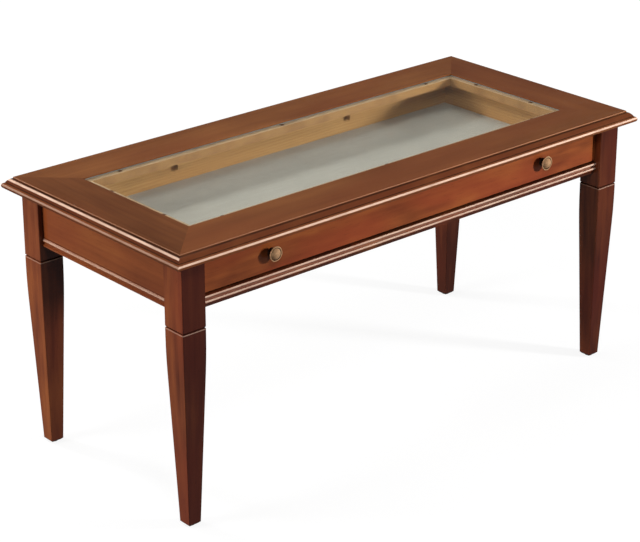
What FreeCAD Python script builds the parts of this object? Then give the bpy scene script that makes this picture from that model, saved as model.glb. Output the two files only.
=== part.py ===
"""Collectors display table: mitred moulded top with a glass panel over a full-width display drawer.

Frame: millimetres, +Z up, X along the table's length, the drawer opens towards -Y,
and the origin is on the floor under the middle of the table.
"""
import FreeCAD, Part
import math
import os

import Sketcher

SIZES = {
    # overall
    "top_length": 1100,
    "top_width": 500,
    "table_height": 510,
    # top frame and its edge moulding
    "top_thickness": 24,
    "frame_width": 102,
    "glass_ledge": 10,
    "arris_radius": 1.4,
    "moulding_width": 16.9,
    "quirk_drop": 3,
    "quirk_shelf": 1,
    "ovolo_radius": 17,
    "ovolo_foot": 1.1,
    "nose_radius": 5.5,
    "nose_level": 17,
    "under_inset": 11.5,
    "under_radius": 8,
    "under_step": 1.5,
    "spline_length": 60,
    "spline_width": 16,
    "spline_thickness": 5,
    "spline_inset": 24,
    # glass panel
    "glass_thickness": 5,
    "glass_recess": 2,
    "glass_clearance": 0.8,
    "glass_arris": 0.6,
    "pad_thickness": 1,
    "pad_size": 7,
    "pad_inset": 70,
    # legs
    "leg_size": 48,
    "leg_setback": 25,
    "leg_arris": 1,
    "band_drop": 122,
    "band_width": 3.6,
    "band_depth": 2,
    "taper_drop": 170,
    "taper_blend": 34,
    "taper_inset": 11.4,
    "foot_chamfer": 3.6,
    "glide_thickness": 2,
    "glide_diameter": 15,
    # aprons and rails
    "apron_setback": 9.5,
    "apron_thickness": 20,
    "apron_height": 93,
    "tenon_thickness": 9,
    "tenon_length": 20,
    "tenon_shoulder": 8,
    "joint_clearance": 0.1,
    "bead_radius": 2.9,
    "bead_proud": 2.4,
    "apron_bead_height": 10.4,
    "foot_mould_height": 4.2,
    "foot_mould_bevel": 1.2,
    "rail_height": 21.5,
    "rail_setback": 9,
    "rail_step": 3.7,
    "rail_cove": 2.6,
    "lower_bead_height": 3.9,
    "lower_bead_setback": 1.9,
    "lower_bead_level": 11,
    "rail_foot_height": 2.6,
    "rail_tenon_thickness": 13,
    "rail_tenon_width": 22,
    "batten_height": 10,
    "batten_width": 12,
    "upper_rail_gap": 2,
    "upper_rail_tenon": 15,
    "upper_tenon_thickness": 8,
    "upper_tenon_height": 7.5,
    # drawer case
    "runner_width": 34,
    "runner_thickness": 18,
    "guide_height": 12,
    "stop_width": 40,
    "stop_height": 24,
    "stop_spacing": 560,
    # drawer
    "drawer_clearance": 1.5,
    "drawer_setback": 13,
    "front_thickness": 20,
    "front_top_gap": 1.6,
    "front_bottom_gap": 3,
    "front_arris": 0.8,
    "running_gap": 0.3,
    "kick_gap": 1,
    "side_thickness": 13,
    "back_thickness": 12,
    "back_gap": 6,
    "tail_length": 13,
    "tail_ratio": 0.56,
    "tail_slope": 6,
    "groove_height": 15.5,
    "groove_depth": 6,
    "bottom_thickness": 4,
    "lining_thickness": 1.6,
    "lining_clearance": 0.4,
    "brace_width": 44,
    "brace_thickness": 9,
    "brace_clearance": 6,
    "catch_width": 34,
    "catch_thickness": 10,
    "catch_height": 20,
    "catch_rise": 6,
    "catch_spacing": 420,
    # knobs
    "knob_inset": 147.5,
    "rose_diameter": 16,
    "rose_rise": 2.4,
    "rose_bevel": 0.8,
    "rose_lip": 1.2,
    "rose_dish": 1.6,
    "knob_diameter": 27,
    "knob_projection": 18.5,
    "dome_diameter": 20,
    "dome_ring_width": 1.4,
    "dome_ring_depth": 0.9,
    "neck_diameter": 9,
    "neck_height": 4.6,
    "head_back_diameter": 19,
    "head_start": 9.4,
    "head_edge": 1.8,
    "head_edge_start": 11.6,
    "knob_screw_diameter": 4,
    "knob_screw_depth": 9,
    "screw_clearance": 0.1,
    # fixing screws
    "screw_head_diameter": 8,
    "screw_head_height": 2.4,
    "screw_head_sink": 3,
    "top_screw_diameter": 4,
    "top_screw_bite": 14,
    "long_screw_spacing": 520,
    "short_screw_spacing": 220,
    "panel_screw_diameter": 3,
    "panel_screw_bite": 12,
    "panel_screw_spacing": 300,
    "panel_head_diameter": 6,
    "panel_head_height": 1.8,
}

SIDE_TAILS = 3
BACK_TAILS = 2
THROUGH = 3

doc = FreeCAD.newDocument("display_table")
sheet = doc.addObject("Spreadsheet::Sheet", "Sizes")
PIECES = []


def fill_sheet():
    """Write every driving dimension to the sheet, under its alias."""
    for row, (alias, value) in enumerate(SIZES.items(), start=1):
        sheet.set(f"A{row}", alias.replace("_", " "))
        sheet.set(f"B{row}", str(value))
        sheet.setAlias(f"B{row}", alias)
    doc.recompute()


class Expression(str):
    """A size as sheet arithmetic, which + - * / extend."""

    def __new__(cls, text):
        return super().__new__(cls, f"{text:.6g}" if isinstance(text, (int, float)) else text)

    def __add__(self, other):
        return Expression(f"({self} + {Expression(other)})")

    def __radd__(self, other):
        return Expression(other) + self

    def __sub__(self, other):
        return Expression(f"({self} - {Expression(other)})")

    def __rsub__(self, other):
        return Expression(other) - self

    def __mul__(self, other):
        return Expression(f"({self} * {Expression(other)})")

    def __rmul__(self, other):
        return Expression(other) * self

    def __truediv__(self, other):
        return Expression(f"({self} / {Expression(other)})")

    def __rtruediv__(self, other):
        return Expression(other) / self

    def __neg__(self):
        return Expression(f"(0 - {self})")


class Sheet:
    """Attribute access to the sheet's aliases."""

    def __getattr__(self, alias):
        if alias not in SIZES:
            raise AttributeError(alias)
        return Expression(f"Sizes.{alias}")


S = Sheet()


def value(expression):
    """The number that a sheet expression stands for now."""
    return float(sheet.evalExpression(Expression(expression)))


# ---- derived places, each written once ----

UNDERSIDE = S.table_height - S.top_thickness
LEG_X = S.top_length / 2 - S.leg_setback - S.leg_size / 2
LEG_Y = S.top_width / 2 - S.leg_setback - S.leg_size / 2
BAY_X = LEG_X - S.leg_size / 2
BAY_Y = LEG_Y - S.leg_size / 2
LEG_FACE_X = LEG_X + S.leg_size / 2
LEG_FACE_Y = LEG_Y + S.leg_size / 2
APRON_INNER_X = LEG_FACE_X - S.apron_setback - S.apron_thickness
APRON_INNER_Y = LEG_FACE_Y - S.apron_setback - S.apron_thickness
RAIL_TOP = UNDERSIDE - S.apron_height + S.rail_height
BATTEN_BOTTOM = UNDERSIDE - S.batten_height
GLASS_TOP = S.table_height - S.glass_recess
GLASS_BOTTOM = GLASS_TOP - S.glass_thickness
LEDGE_DEPTH = S.glass_recess + S.glass_thickness + S.pad_thickness
RAIL_INNER = S.frame_width + S.glass_ledge
DRAWER_X = BAY_X - S.drawer_clearance
DRAWER_FACE = LEG_FACE_Y - S.drawer_setback
DRAWER_FRONT_BACK = DRAWER_FACE - S.front_thickness
DRAWER_REAR = APRON_INNER_Y - S.back_gap
SIDE_BOTTOM = RAIL_TOP + S.running_gap
SIDE_TOP = BATTEN_BOTTOM - S.kick_gap
SIDE_HEIGHT = SIDE_TOP - SIDE_BOTTOM
SIDE_INNER = DRAWER_X - S.side_thickness
BACK_INNER = DRAWER_REAR - S.back_thickness
PANEL_BOTTOM = SIDE_BOTTOM + S.groove_height
PANEL_TOP = PANEL_BOTTOM + S.bottom_thickness
PANEL_SCREW_Y = DRAWER_REAR - S.back_thickness / 2
PANEL_SCREWS = [S.panel_screw_spacing * step for step in (-1, 0, 1)]
RAIL_TENON_MIDDLE = S.rail_setback + (S.leg_size - S.rail_setback) / 2
UPPER_RAIL_WIDTH = S.leg_size - S.drawer_setback - S.front_thickness - S.upper_rail_gap
UPPER_RAIL_MIDDLE = BAY_Y + UPPER_RAIL_WIDTH / 2
BACK_BATTEN_MIDDLE = APRON_INNER_Y - S.batten_width / 2
KICKER_MIDDLE = APRON_INNER_X - S.runner_width / 2
LONG_SCREWS = [S.long_screw_spacing / 2 * sign for sign in (-1, 1)]
SHORT_SCREWS = [S.short_screw_spacing / 2 * sign for sign in (-1, 1)]
DIAGONAL = Expression(math.sqrt(0.5))
SPLINE_CENTRE = S.spline_inset + S.spline_length / 2 * DIAGONAL
SPLINE_DEPTH = S.top_thickness / 2 + S.glass_recess
OVOLO_TOP = S.moulding_width - S.arris_radius - S.quirk_shelf
OVOLO_DROP = S.nose_level - S.nose_radius - S.ovolo_foot
BAND_HEIGHT = UNDERSIDE - S.band_drop
TAPER_START = UNDERSIDE - S.taper_drop
KNOB_X = DRAWER_X - S.knob_inset
KNOB_HEIGHT = (RAIL_TOP + S.front_bottom_gap + UNDERSIDE - S.front_top_gap) / 2


# ---- helpers that build one feature each ----

def body(label, base=(0, 0, 0), turn=0, axis=(0, 0, 1)):
    """A new body for one piece, placed by sheet expressions."""
    piece = doc.addObject("PartDesign::Body", label)
    piece.Label = label
    piece.Placement = FreeCAD.Placement(FreeCAD.Vector(), FreeCAD.Rotation(FreeCAD.Vector(*axis), turn))
    for letter, place in zip("xyz", base):
        piece.setExpression(f"Placement.Base.{letter}", Expression(place))
    PIECES.append(piece)
    return piece


def rectangle(left, right, low, high):
    """The corners of a rectangle for a sketch."""
    return [(left, low), (right, low), (right, high), (left, high)]


def bead(face, top, radius):
    """A half-round bead that stands out from a face, as two quarter rounds met going down."""
    return [(face, top, radius), (face - radius, top - radius, radius), (face, top - radius * 2)]


def sketch(piece, name, role, loops, offset=0):
    """A sketch of closed loops on one of the piece's own origin planes.

    A corner is (x, y) or (x, y, radius): the radius bends the side that follows it. Going
    round anticlockwise, a positive radius bulges out and a negative one hollows in.
    """
    drawing = piece.newObject("Sketcher::SketchObject", f"{piece.Name}_{name}")
    plane = next(item for item in piece.Origin.OriginFeatures if item.Role == role)
    drawing.AttachmentSupport = [(plane, "")]
    drawing.MapMode = "FlatFace"
    drawing.setExpression("AttachmentOffset.Base.z", Expression(offset))
    for corners in loops:
        draw_loop(drawing, corners)
    return drawing


def draw_loop(drawing, corners):
    """Add one closed loop of lines and arcs, each corner and radius bound to the sheet."""
    spots = [FreeCAD.Vector(value(corner[0]), value(corner[1]), 0) for corner in corners]
    ends = []
    for number, corner in enumerate(corners):
        start, finish = spots[number], spots[(number + 1) % len(spots)]
        if len(corner) == 2:
            ends.append((drawing.addGeometry(Part.LineSegment(start, finish), False), 1, 2))
            continue
        radius = value(corner[2])
        side = math.copysign(1.0, radius)
        chord = finish - start
        across = FreeCAD.Vector(chord.y, -chord.x, 0).normalize()
        rise = math.sqrt(radius ** 2 - (chord.Length / 2) ** 2)
        centre = (start + finish) / 2 - across * rise * side
        turn_from, turn_to = (start, finish) if side > 0 else (finish, start)
        first = math.atan2(turn_from.y - centre.y, turn_from.x - centre.x)
        last = math.atan2(turn_to.y - centre.y, turn_to.x - centre.x)
        circle = Part.Circle(centre, FreeCAD.Vector(0, 0, 1), abs(radius))
        arc = drawing.addGeometry(Part.ArcOfCircle(circle, first, last), False)
        drawing.setExpression(
            f"Constraints[{drawing.addConstraint(Sketcher.Constraint('Radius', arc, abs(radius)))}]",
            Expression(corner[2]) * side)
        ends.append((arc, 1, 2) if side > 0 else (arc, 2, 1))
    for number, corner in enumerate(corners):
        curve, begin, _ = ends[number]
        before, _, finish = ends[number - 1]
        drawing.addConstraint(Sketcher.Constraint("Coincident", before, finish, curve, begin))
        for kind, place, spot in (("DistanceX", corner[0], spots[number].x),
                                  ("DistanceY", corner[1], spots[number].y)):
            held = drawing.addConstraint(Sketcher.Constraint(kind, -1, 1, curve, begin, spot))
            drawing.setExpression(f"Constraints[{held}]", Expression(place))


def extrude(piece, kind, drawing, length, side="One side", backwards=False):
    """A Pad or Pocket of a sketch."""
    feature = piece.newObject(f"PartDesign::{kind}", f"{drawing.Name}_{kind}")
    feature.Profile = drawing
    feature.SideType = side
    feature.Reversed = backwards
    feature.setExpression("Length", Expression(length))
    return feature


def pad(piece, name, role, corners, length, side="Symmetric", backwards=False, offset=0):
    """Raise one closed outline."""
    return extrude(piece, "Pad", sketch(piece, name, role, [corners], offset), length, side, backwards)


def cut(piece, name, role, loops, length, side="Symmetric", backwards=False, offset=0):
    """Cut closed outlines out of the piece, and make sure that the cut takes something away."""
    doc.recompute()
    before = piece.Shape.Volume
    feature = extrude(piece, "Pocket", sketch(piece, name, role, loops, offset), length, side, backwards)
    doc.recompute()
    if piece.Shape.Volume >= before:
        raise RuntimeError(f"{name} takes nothing from {piece.Label}")
    return feature


def revolve(piece, name, corners):
    """Turn a half outline, drawn in X and Z, about the piece's Z axis."""
    drawing = sketch(piece, name, "XZ_Plane", [corners])
    feature = piece.newObject("PartDesign::Revolution", f"{drawing.Name}_turned")
    feature.Profile = drawing
    feature.ReferenceAxis = (drawing, ["V_Axis"])
    feature.Angle = 360
    return feature


def soften(piece, kind, size, wanted):
    """Round (Fillet) or bevel (Chamfer) the edges that wanted(edge) picks."""
    doc.recompute()
    names = [f"Edge{number}" for number, edge in enumerate(piece.Tip.Shape.Edges, start=1)
             if wanted(edge)]
    feature = piece.newObject(f"PartDesign::{kind}", f"{piece.Name}_{kind}")
    feature.Base = (feature.BaseFeature, names)
    feature.setExpression("Radius" if kind == "Fillet" else "Size", Expression(size))
    return feature


def group(label, bodies):
    """One node that holds several separate like solids."""
    bundle = doc.addObject("Part::Compound", label)
    bundle.Label = label
    bundle.Links = bodies
    for member in bodies:
        PIECES.remove(member)
    PIECES.append(bundle)
    return bundle


# ---- top: four mitred, moulded and rebated rails, and the glass ----

def top_profile():
    """Section of a top rail: Y runs in from the nose, Z down from the top face."""
    return [
        (RAIL_INNER, -S.top_thickness),
        (RAIL_INNER, -LEDGE_DEPTH),
        (S.frame_width, -LEDGE_DEPTH),
        (S.frame_width, -S.arris_radius, S.arris_radius),
        (S.frame_width - S.arris_radius, 0),
        (S.moulding_width, 0, S.arris_radius),
        (S.moulding_width - S.arris_radius, -S.arris_radius),
        (S.moulding_width - S.arris_radius, -S.quirk_drop),
        (OVOLO_TOP, -S.quirk_drop, S.ovolo_radius),
        (S.nose_radius, -OVOLO_DROP),
        *bead(S.nose_radius, S.nose_radius - S.nose_level, S.nose_radius),
        (S.nose_radius + S.under_step, -S.nose_level - S.nose_radius, -S.under_radius),
        (S.under_inset, -S.top_thickness),
    ]


def top_rail(label, length, turn, base, screws):
    """One rail of the top frame, mitred at both ends, with spline slots and screw pilots."""
    rail = body(label, base, turn)
    pad(rail, "section", "YZ_Plane", top_profile(), length)
    reach = RAIL_INNER + S.top_thickness
    for end, name in ((-1, "left"), (1, "right")):
        tip = end * (length / 2)
        cut(rail, f"{name}_mitre", "XY_Plane",
            [[(tip, 0), (tip - end * reach, reach), (tip, reach)]], S.top_thickness * THROUGH)
        slot = []
        for along, sideways in ((-1, -1), (1, -1), (1, 1), (-1, 1)):
            lengthways = SPLINE_CENTRE + along * (S.spline_length + S.joint_clearance) / 2 * DIAGONAL
            crossways = sideways * (S.spline_width + S.joint_clearance) / 2 * DIAGONAL
            slot.append((tip - end * (lengthways - crossways), lengthways + crossways))
        cut(rail, f"{name}_spline_slot", "XY_Plane", [slot],
            S.spline_thickness + S.joint_clearance, offset=-SPLINE_DEPTH)
    bores(rail, "screw_pilots", screws, S.top_screw_diameter + S.screw_clearance * 2,
          S.top_screw_bite + S.screw_clearance, backwards=True, offset=-S.top_thickness)
    return rail


def mitre_spline(number, sign_x, sign_y):
    """A loose tongue glued across one mitre of the top, along the mitre line."""
    turn = math.degrees(math.atan2(-sign_y, -sign_x))
    tongue = body(f"mitre_spline_{number}",
                  (sign_x * (S.top_length / 2 - SPLINE_CENTRE), sign_y * (S.top_width / 2 - SPLINE_CENTRE),
                   S.table_height - SPLINE_DEPTH), turn)
    pad(tongue, "outline", "XY_Plane",
        rectangle(-S.spline_length / 2, S.spline_length / 2, -S.spline_width / 2, S.spline_width / 2),
        S.spline_thickness)
    return tongue


def build_top():
    """The top frame, its mitre splines, the glass and the clear pads that it lies on."""
    half_x, half_y = S.top_length / 2, S.top_width / 2
    front_screws = [(x, half_y - UPPER_RAIL_MIDDLE) for x in LONG_SCREWS]
    back_screws = [(x, half_y - BACK_BATTEN_MIDDLE) for x in LONG_SCREWS]
    side_screws = [(x, half_x - KICKER_MIDDLE) for x in SHORT_SCREWS]
    top_rail("top_rail_front", S.top_length, 0, (0, -half_y, S.table_height), front_screws)
    top_rail("top_rail_right", S.top_width, 90, (half_x, 0, S.table_height), side_screws)
    top_rail("top_rail_back", S.top_length, 180, (0, half_y, S.table_height), back_screws)
    top_rail("top_rail_left", S.top_width, 270, (-half_x, 0, S.table_height), side_screws)
    corners = [(x, y) for x in (-1, 1) for y in (-1, 1)]
    group("mitre_splines", [mitre_spline(number, *signs) for number, signs in enumerate(corners)])
    glass_x = half_x - S.frame_width - S.glass_clearance
    glass_y = half_y - S.frame_width - S.glass_clearance
    glass = body("glass_panel", (0, 0, GLASS_BOTTOM))
    pad(glass, "outline", "XY_Plane", rectangle(-glass_x, glass_x, -glass_y, glass_y),
        S.glass_thickness, "One side")
    soften(glass, "Chamfer", S.glass_arris, lambda edge: edge.BoundBox.ZLength < 1e-6)
    ledge_x = half_x - S.frame_width - S.glass_ledge / 2
    ledge_y = half_y - S.frame_width - S.glass_ledge / 2
    places = [(x * ledge_x, y * (ledge_y - S.pad_inset)) for x in (-1, 1) for y in (-1, 1)]
    places += [(x * (ledge_x - S.pad_inset), y * ledge_y) for x in (-1, 0, 1) for y in (-1, 1)]
    group("glass_pads", [glass_pad(number, *place) for number, place in enumerate(places)])


def glass_pad(number, x, y):
    """A clear self-adhesive square between the ledge and the glass."""
    square = body(f"glass_pad_{number}", (x, y, GLASS_BOTTOM - S.pad_thickness))
    half = S.pad_size / 2
    pad(square, "outline", "XY_Plane", rectangle(-half, half, -half, half), S.pad_thickness, "One side")
    return square


# ---- legs ----

def leg_silhouette(side):
    """Outline of everything outside one side of the leg, with the band groove and the taper."""
    half = S.leg_size / 2
    outside = S.leg_size
    taper = f"atan({S.taper_inset} / {TAPER_START})"
    blend_radius = S.taper_blend / Expression(f"tan({taper} / 2)")
    blend_x = half - S.taper_blend * Expression(f"sin({taper})")
    blend_z = TAPER_START - S.taper_blend * Expression(f"cos({taper})")
    foot_x = half - S.taper_inset + S.glide_thickness * S.taper_inset / TAPER_START
    chamfer_z = S.glide_thickness + S.foot_chamfer
    points = [
        (outside, 0),
        (outside, S.table_height),
        (half, S.table_height),
        (half, BAND_HEIGHT + S.band_width / 2),
        (half - S.band_depth, BAND_HEIGHT),
        (half, BAND_HEIGHT - S.band_width / 2),
        (half, TAPER_START + S.taper_blend, -blend_radius),
        (blend_x, blend_z),
        (foot_x + S.foot_chamfer * S.taper_inset / TAPER_START, chamfer_z),
        (foot_x - S.foot_chamfer, S.glide_thickness),
        (foot_x - S.foot_chamfer, 0),
    ]
    if side > 0:
        return points
    mirrored = []
    for number in range(len(points) - 1, -1, -1):
        x, z = points[number][0], points[number][1]
        before = points[number - 1]
        mirrored.append((-x, z, before[2]) if len(before) == 3 else (-x, z))
    return mirrored


def leg(label, sign_x, sign_y):
    """One leg with its band groove, taper, and the mortises that its neighbours need."""
    half = S.leg_size / 2
    post = body(label, (sign_x * LEG_X, sign_y * LEG_Y, 0))
    pad(post, "post", "XY_Plane", rectangle(-half, half, -half, half),
        UNDERSIDE - S.glide_thickness, "One side", offset=S.glide_thickness)
    for name, role in (("front", "XZ_Plane"), ("side", "YZ_Plane")):
        cut(post, name, role, [leg_silhouette(-1), leg_silhouette(1)], S.leg_size * 2)
    soften(post, "Chamfer", S.leg_arris, lambda edge: edge.BoundBox.ZLength > value(S.band_width) * 2)
    slack = S.joint_clearance
    tenon_middle = half - S.apron_setback - S.apron_thickness / 2
    tenon_low = UNDERSIDE - S.apron_height + S.tenon_shoulder - slack
    tenon_high = UNDERSIDE - S.tenon_shoulder + slack
    thick = (S.tenon_thickness + slack) / 2
    cut(post, "side_mortise", "XZ_Plane",
        [rectangle(sign_x * tenon_middle - thick, sign_x * tenon_middle + thick, tenon_low, tenon_high)],
        S.tenon_length + slack, "One side", sign_y < 0, sign_y * half)
    if sign_y > 0:
        cut(post, "back_mortise", "YZ_Plane",
            [rectangle(tenon_middle - thick, tenon_middle + thick, tenon_low, tenon_high)],
            S.tenon_length + slack, "One side", sign_x > 0, -sign_x * half)
    else:
        middle = -half + RAIL_TENON_MIDDLE
        rail_middle = RAIL_TOP - S.rail_height / 2
        cut(post, "rail_mortise", "YZ_Plane",
            [rectangle(middle - (S.rail_tenon_width + slack) / 2, middle + (S.rail_tenon_width + slack) / 2,
                       rail_middle - (S.rail_tenon_thickness + slack) / 2,
                       rail_middle + (S.rail_tenon_thickness + slack) / 2)],
            S.tenon_length + slack, "One side", sign_x > 0, -sign_x * half)
        upper = half - UPPER_RAIL_WIDTH / 2
        cut(post, "upper_rail_mortise", "YZ_Plane",
            [rectangle(upper - (S.upper_tenon_thickness + slack) / 2,
                       upper + (S.upper_tenon_thickness + slack) / 2,
                       UNDERSIDE - S.upper_tenon_height - slack, UNDERSIDE)],
            S.upper_rail_tenon + slack, "One side", sign_x > 0, -sign_x * half)
    return post


def glide(label, sign_x, sign_y):
    """The nail-on disc that one leg stands on."""
    disc = body(label, (sign_x * LEG_X, sign_y * LEG_Y, 0))
    radius = S.glide_diameter / 2
    revolve(disc, "section", [(0, 0), (radius, 0), (radius, S.glide_thickness), (0, S.glide_thickness)])
    return disc


def build_legs():
    """Four legs, each on its own glide."""
    for row, sign_y in (("front", -1), ("back", 1)):
        for side, sign_x in (("left", -1), ("right", 1)):
            leg(f"leg_{row}_{side}", sign_x, sign_y)
            glide(f"foot_glide_{row}_{side}", sign_x, sign_y)


# ---- aprons and rails between the legs ----

def apron(label, length, turn, base):
    """A side or back apron: tenoned board with a bead and a foot moulding along its lower edge."""
    board = body(label, base, turn)
    low = -S.apron_height
    middle = S.apron_thickness / 2
    pad(board, "tenons", "YZ_Plane",
        rectangle(middle - S.tenon_thickness / 2, middle + S.tenon_thickness / 2,
                  low + S.tenon_shoulder, -S.tenon_shoulder), length + S.tenon_length * 2)
    profile = [
        (S.apron_thickness, 0),
        (0, 0),
        *bead(0, low + S.apron_bead_height + S.bead_radius, S.bead_radius),
        (0, low + S.foot_mould_height),
        (-S.bead_proud, low + S.foot_mould_height - S.foot_mould_bevel),
        (-S.bead_proud, low),
        (S.apron_thickness, low),
    ]
    pad(board, "board", "YZ_Plane", profile, length)
    return board


def front_rail():
    """The rail under the drawer, with a bead, a cove and a second bead along its front."""
    rail = body("front_rail", (0, -LEG_FACE_Y + S.rail_setback, RAIL_TOP))
    low = -S.rail_height
    back = S.leg_size - S.rail_setback
    step = S.rail_step
    second = low + S.lower_bead_level
    pad(rail, "tenons", "YZ_Plane",
        rectangle(back / 2 - S.rail_tenon_width / 2, back / 2 + S.rail_tenon_width / 2,
                  low / 2 - S.rail_tenon_thickness / 2, low / 2 + S.rail_tenon_thickness / 2),
        BAY_X * 2 + S.tenon_length * 2)
    profile = [
        (back, 0),
        *bead(S.bead_radius, 0, S.bead_radius),
        (step, -S.bead_radius * 2, -S.rail_cove),
        (step, second),
        (S.lower_bead_setback, second, S.bead_radius),
        (S.lower_bead_setback, second - S.lower_bead_height),
        (step, low + S.rail_foot_height),
        (step, low),
        (back, low),
    ]
    pad(rail, "rail", "YZ_Plane", profile, BAY_X * 2)
    return rail


def build_frame():
    """The aprons, the front rail and the hidden upper rail that tie the legs together."""
    apron("apron_left", BAY_Y * 2, 270, (-LEG_FACE_X + S.apron_setback, 0, UNDERSIDE))
    apron("apron_right", BAY_Y * 2, 90, (LEG_FACE_X - S.apron_setback, 0, UNDERSIDE))
    apron("apron_back", BAY_X * 2, 180, (0, LEG_FACE_Y - S.apron_setback, UNDERSIDE))
    front_rail()
    upper = body("upper_front_rail", (0, -BAY_Y, UNDERSIDE))
    middle = -UPPER_RAIL_WIDTH / 2
    pad(upper, "rail", "YZ_Plane", rectangle(-UPPER_RAIL_WIDTH, 0, -S.batten_height, 0), BAY_X * 2)
    pad(upper, "tenons", "YZ_Plane",
        rectangle(middle - S.upper_tenon_thickness / 2, middle + S.upper_tenon_thickness / 2,
                  -S.upper_tenon_height, 0), BAY_X * 2 + S.upper_rail_tenon * 2)
    sunk_holes(upper, [(x, middle) for x in LONG_SCREWS])


# ---- drawer case: runners, guides, kickers, back batten and stops ----

def ring(drawing, x, y, diameter):
    """Add a circle to a sketch, its centre and diameter bound to the sheet."""
    spot = FreeCAD.Vector(value(x), value(y), 0)
    curve = drawing.addGeometry(Part.Circle(spot, FreeCAD.Vector(0, 0, 1), value(diameter) / 2), False)
    held = drawing.addConstraint(Sketcher.Constraint("Diameter", curve, value(diameter)))
    drawing.setExpression(f"Constraints[{held}]", Expression(diameter))
    for kind, place, now in (("DistanceX", x, spot.x), ("DistanceY", y, spot.y)):
        held = drawing.addConstraint(Sketcher.Constraint(kind, -1, 1, curve, 3, now))
        drawing.setExpression(f"Constraints[{held}]", Expression(place))


def bores(piece, name, spots, diameter, depth, role="XY_Plane", side="One side", backwards=False, offset=0):
    """Plain round holes of one diameter, square to one of the piece's origin planes."""
    doc.recompute()
    before = piece.Shape.Volume
    drawing = sketch(piece, name, role, [], offset)
    for x, y in spots:
        ring(drawing, x, y, diameter)
    extrude(piece, "Pocket", drawing, depth, side, backwards)
    doc.recompute()
    if piece.Shape.Volume >= before:
        raise RuntimeError(f"{name} takes nothing from {piece.Label}")


def sunk_holes(batten, spots):
    """Counterbored holes for the top fixing screws, up through a batten whose top face is at Z = 0."""
    doc.recompute()
    before = batten.Shape.Volume
    drawing = sketch(batten, "screw_holes", "XY_Plane", [], -S.batten_height)
    for x, y in spots:
        ring(drawing, x, y, S.top_screw_diameter)
    doc.recompute()
    hole = batten.newObject("PartDesign::Hole", f"{drawing.Name}_Hole")
    hole.Profile = drawing
    hole.Reversed = True
    hole.DepthType = "ThroughAll"
    hole.HoleCutType = "Counterbore"
    hole.HoleCutCustomValues = True
    hole.setExpression("Diameter", S.top_screw_diameter + S.screw_clearance * 2)
    hole.setExpression("HoleCutDiameter", S.screw_head_diameter + S.screw_clearance * 2)
    hole.setExpression("HoleCutDepth", S.screw_head_sink)
    doc.recompute()
    if batten.Shape.Volume >= before:
        raise RuntimeError(f"the screw holes take nothing from {batten.Label}")


def build_case():
    """What carries, guides and stops the drawer."""
    for side, sign in (("left", -1), ("right", 1)):
        inner = APRON_INNER_X - S.runner_width
        middle = sign * (APRON_INNER_X + inner) / 2
        half = S.runner_width / 2
        runner = body(f"drawer_runner_{side}", (middle, 0, RAIL_TOP - S.runner_thickness))
        pad(runner, "strip", "XY_Plane", rectangle(-half, half, -BAY_Y, BAY_Y),
            S.runner_thickness, "One side")
        guide_half = (APRON_INNER_X - BAY_X) / 2
        guide = body(f"drawer_guide_{side}", (sign * (APRON_INNER_X + BAY_X) / 2, 0, RAIL_TOP))
        pad(guide, "strip", "XY_Plane", rectangle(-guide_half, guide_half, -BAY_Y, BAY_Y),
            S.guide_height, "One side")
        kicker = body(f"drawer_kicker_{side}", (middle, 0, UNDERSIDE))
        pad(kicker, "strip", "XY_Plane", rectangle(-half, half, -BAY_Y, BAY_Y),
            S.batten_height, "One side", True)
        sunk_holes(kicker, [(0, y) for y in SHORT_SCREWS])
        stop = body(f"drawer_stop_{side}", (sign * S.stop_spacing / 2, 0, PANEL_TOP))
        pad(stop, "block", "XY_Plane",
            rectangle(-S.stop_width / 2, S.stop_width / 2, DRAWER_REAR + S.running_gap, APRON_INNER_Y),
            S.stop_height, "One side")
    batten = body("back_batten", (0, APRON_INNER_Y - S.batten_width / 2, UNDERSIDE))
    pad(batten, "strip", "XY_Plane",
        rectangle(-BAY_X, BAY_X, -S.batten_width / 2, S.batten_width / 2), S.batten_height, "One side", True)
    sunk_holes(batten, [(x, 0) for x in LONG_SCREWS])


def screw(label, base, shank, head, turn=0):
    """A screw whose head hangs below Z = 0 with its shank up, turned about X; each is (diameter, length)."""
    piece = body(label, base, turn, (1, 0, 0))
    radius, rim = shank[0] / 2, head[0] / 2
    revolve(piece, "section", [(0, -head[1]), (rim, -head[1]), (rim, 0), (radius, 0), (radius, shank[1]),
                               (0, shank[1])])
    return piece


def build_top_screws():
    """The screws that hold the top down, up through the battens into the frame."""
    spots = [(sign * KICKER_MIDDLE, y) for sign in (-1, 1) for y in SHORT_SCREWS]
    spots += [(x, BACK_BATTEN_MIDDLE) for x in LONG_SCREWS]
    spots += [(x, -UPPER_RAIL_MIDDLE) for x in LONG_SCREWS]
    screws = []
    for number, (x, y) in enumerate(spots):
        screws.append(screw(f"top_screw_{number}", (x, y, BATTEN_BOTTOM + S.screw_head_sink),
                            (S.top_screw_diameter, S.batten_height - S.screw_head_sink + S.top_screw_bite),
                            (S.screw_head_diameter, S.screw_head_height)))
    group("top_fixing_screws", screws)


# ---- drawer ----

def tails(count, bottom, span, end, length, outward):
    """Corner points of dovetails up one end of a drawer side; outward is +1 or -1 along Y."""
    pitch = span / count
    neck = pitch * S.tail_ratio / 2
    tip = neck + length / S.tail_slope
    outline = []
    for number in range(count):
        middle = bottom + pitch * (number + 0.5)
        outline.append([(end, middle - neck), (end + outward * length, middle - tip),
                        (end + outward * length, middle + tip), (end, middle + neck)])
    return outline


def front_tails():
    """The dovetails that hold the drawer front, pointing towards the front."""
    return tails(SIDE_TAILS, SIDE_BOTTOM, SIDE_HEIGHT, -DRAWER_FRONT_BACK, S.tail_length, -1)


def back_tails():
    """The dovetails through the drawer back, which starts on top of the bottom panel."""
    return tails(BACK_TAILS, PANEL_TOP, SIDE_TOP - PANEL_TOP, BACK_INNER, S.back_thickness, 1)


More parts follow.
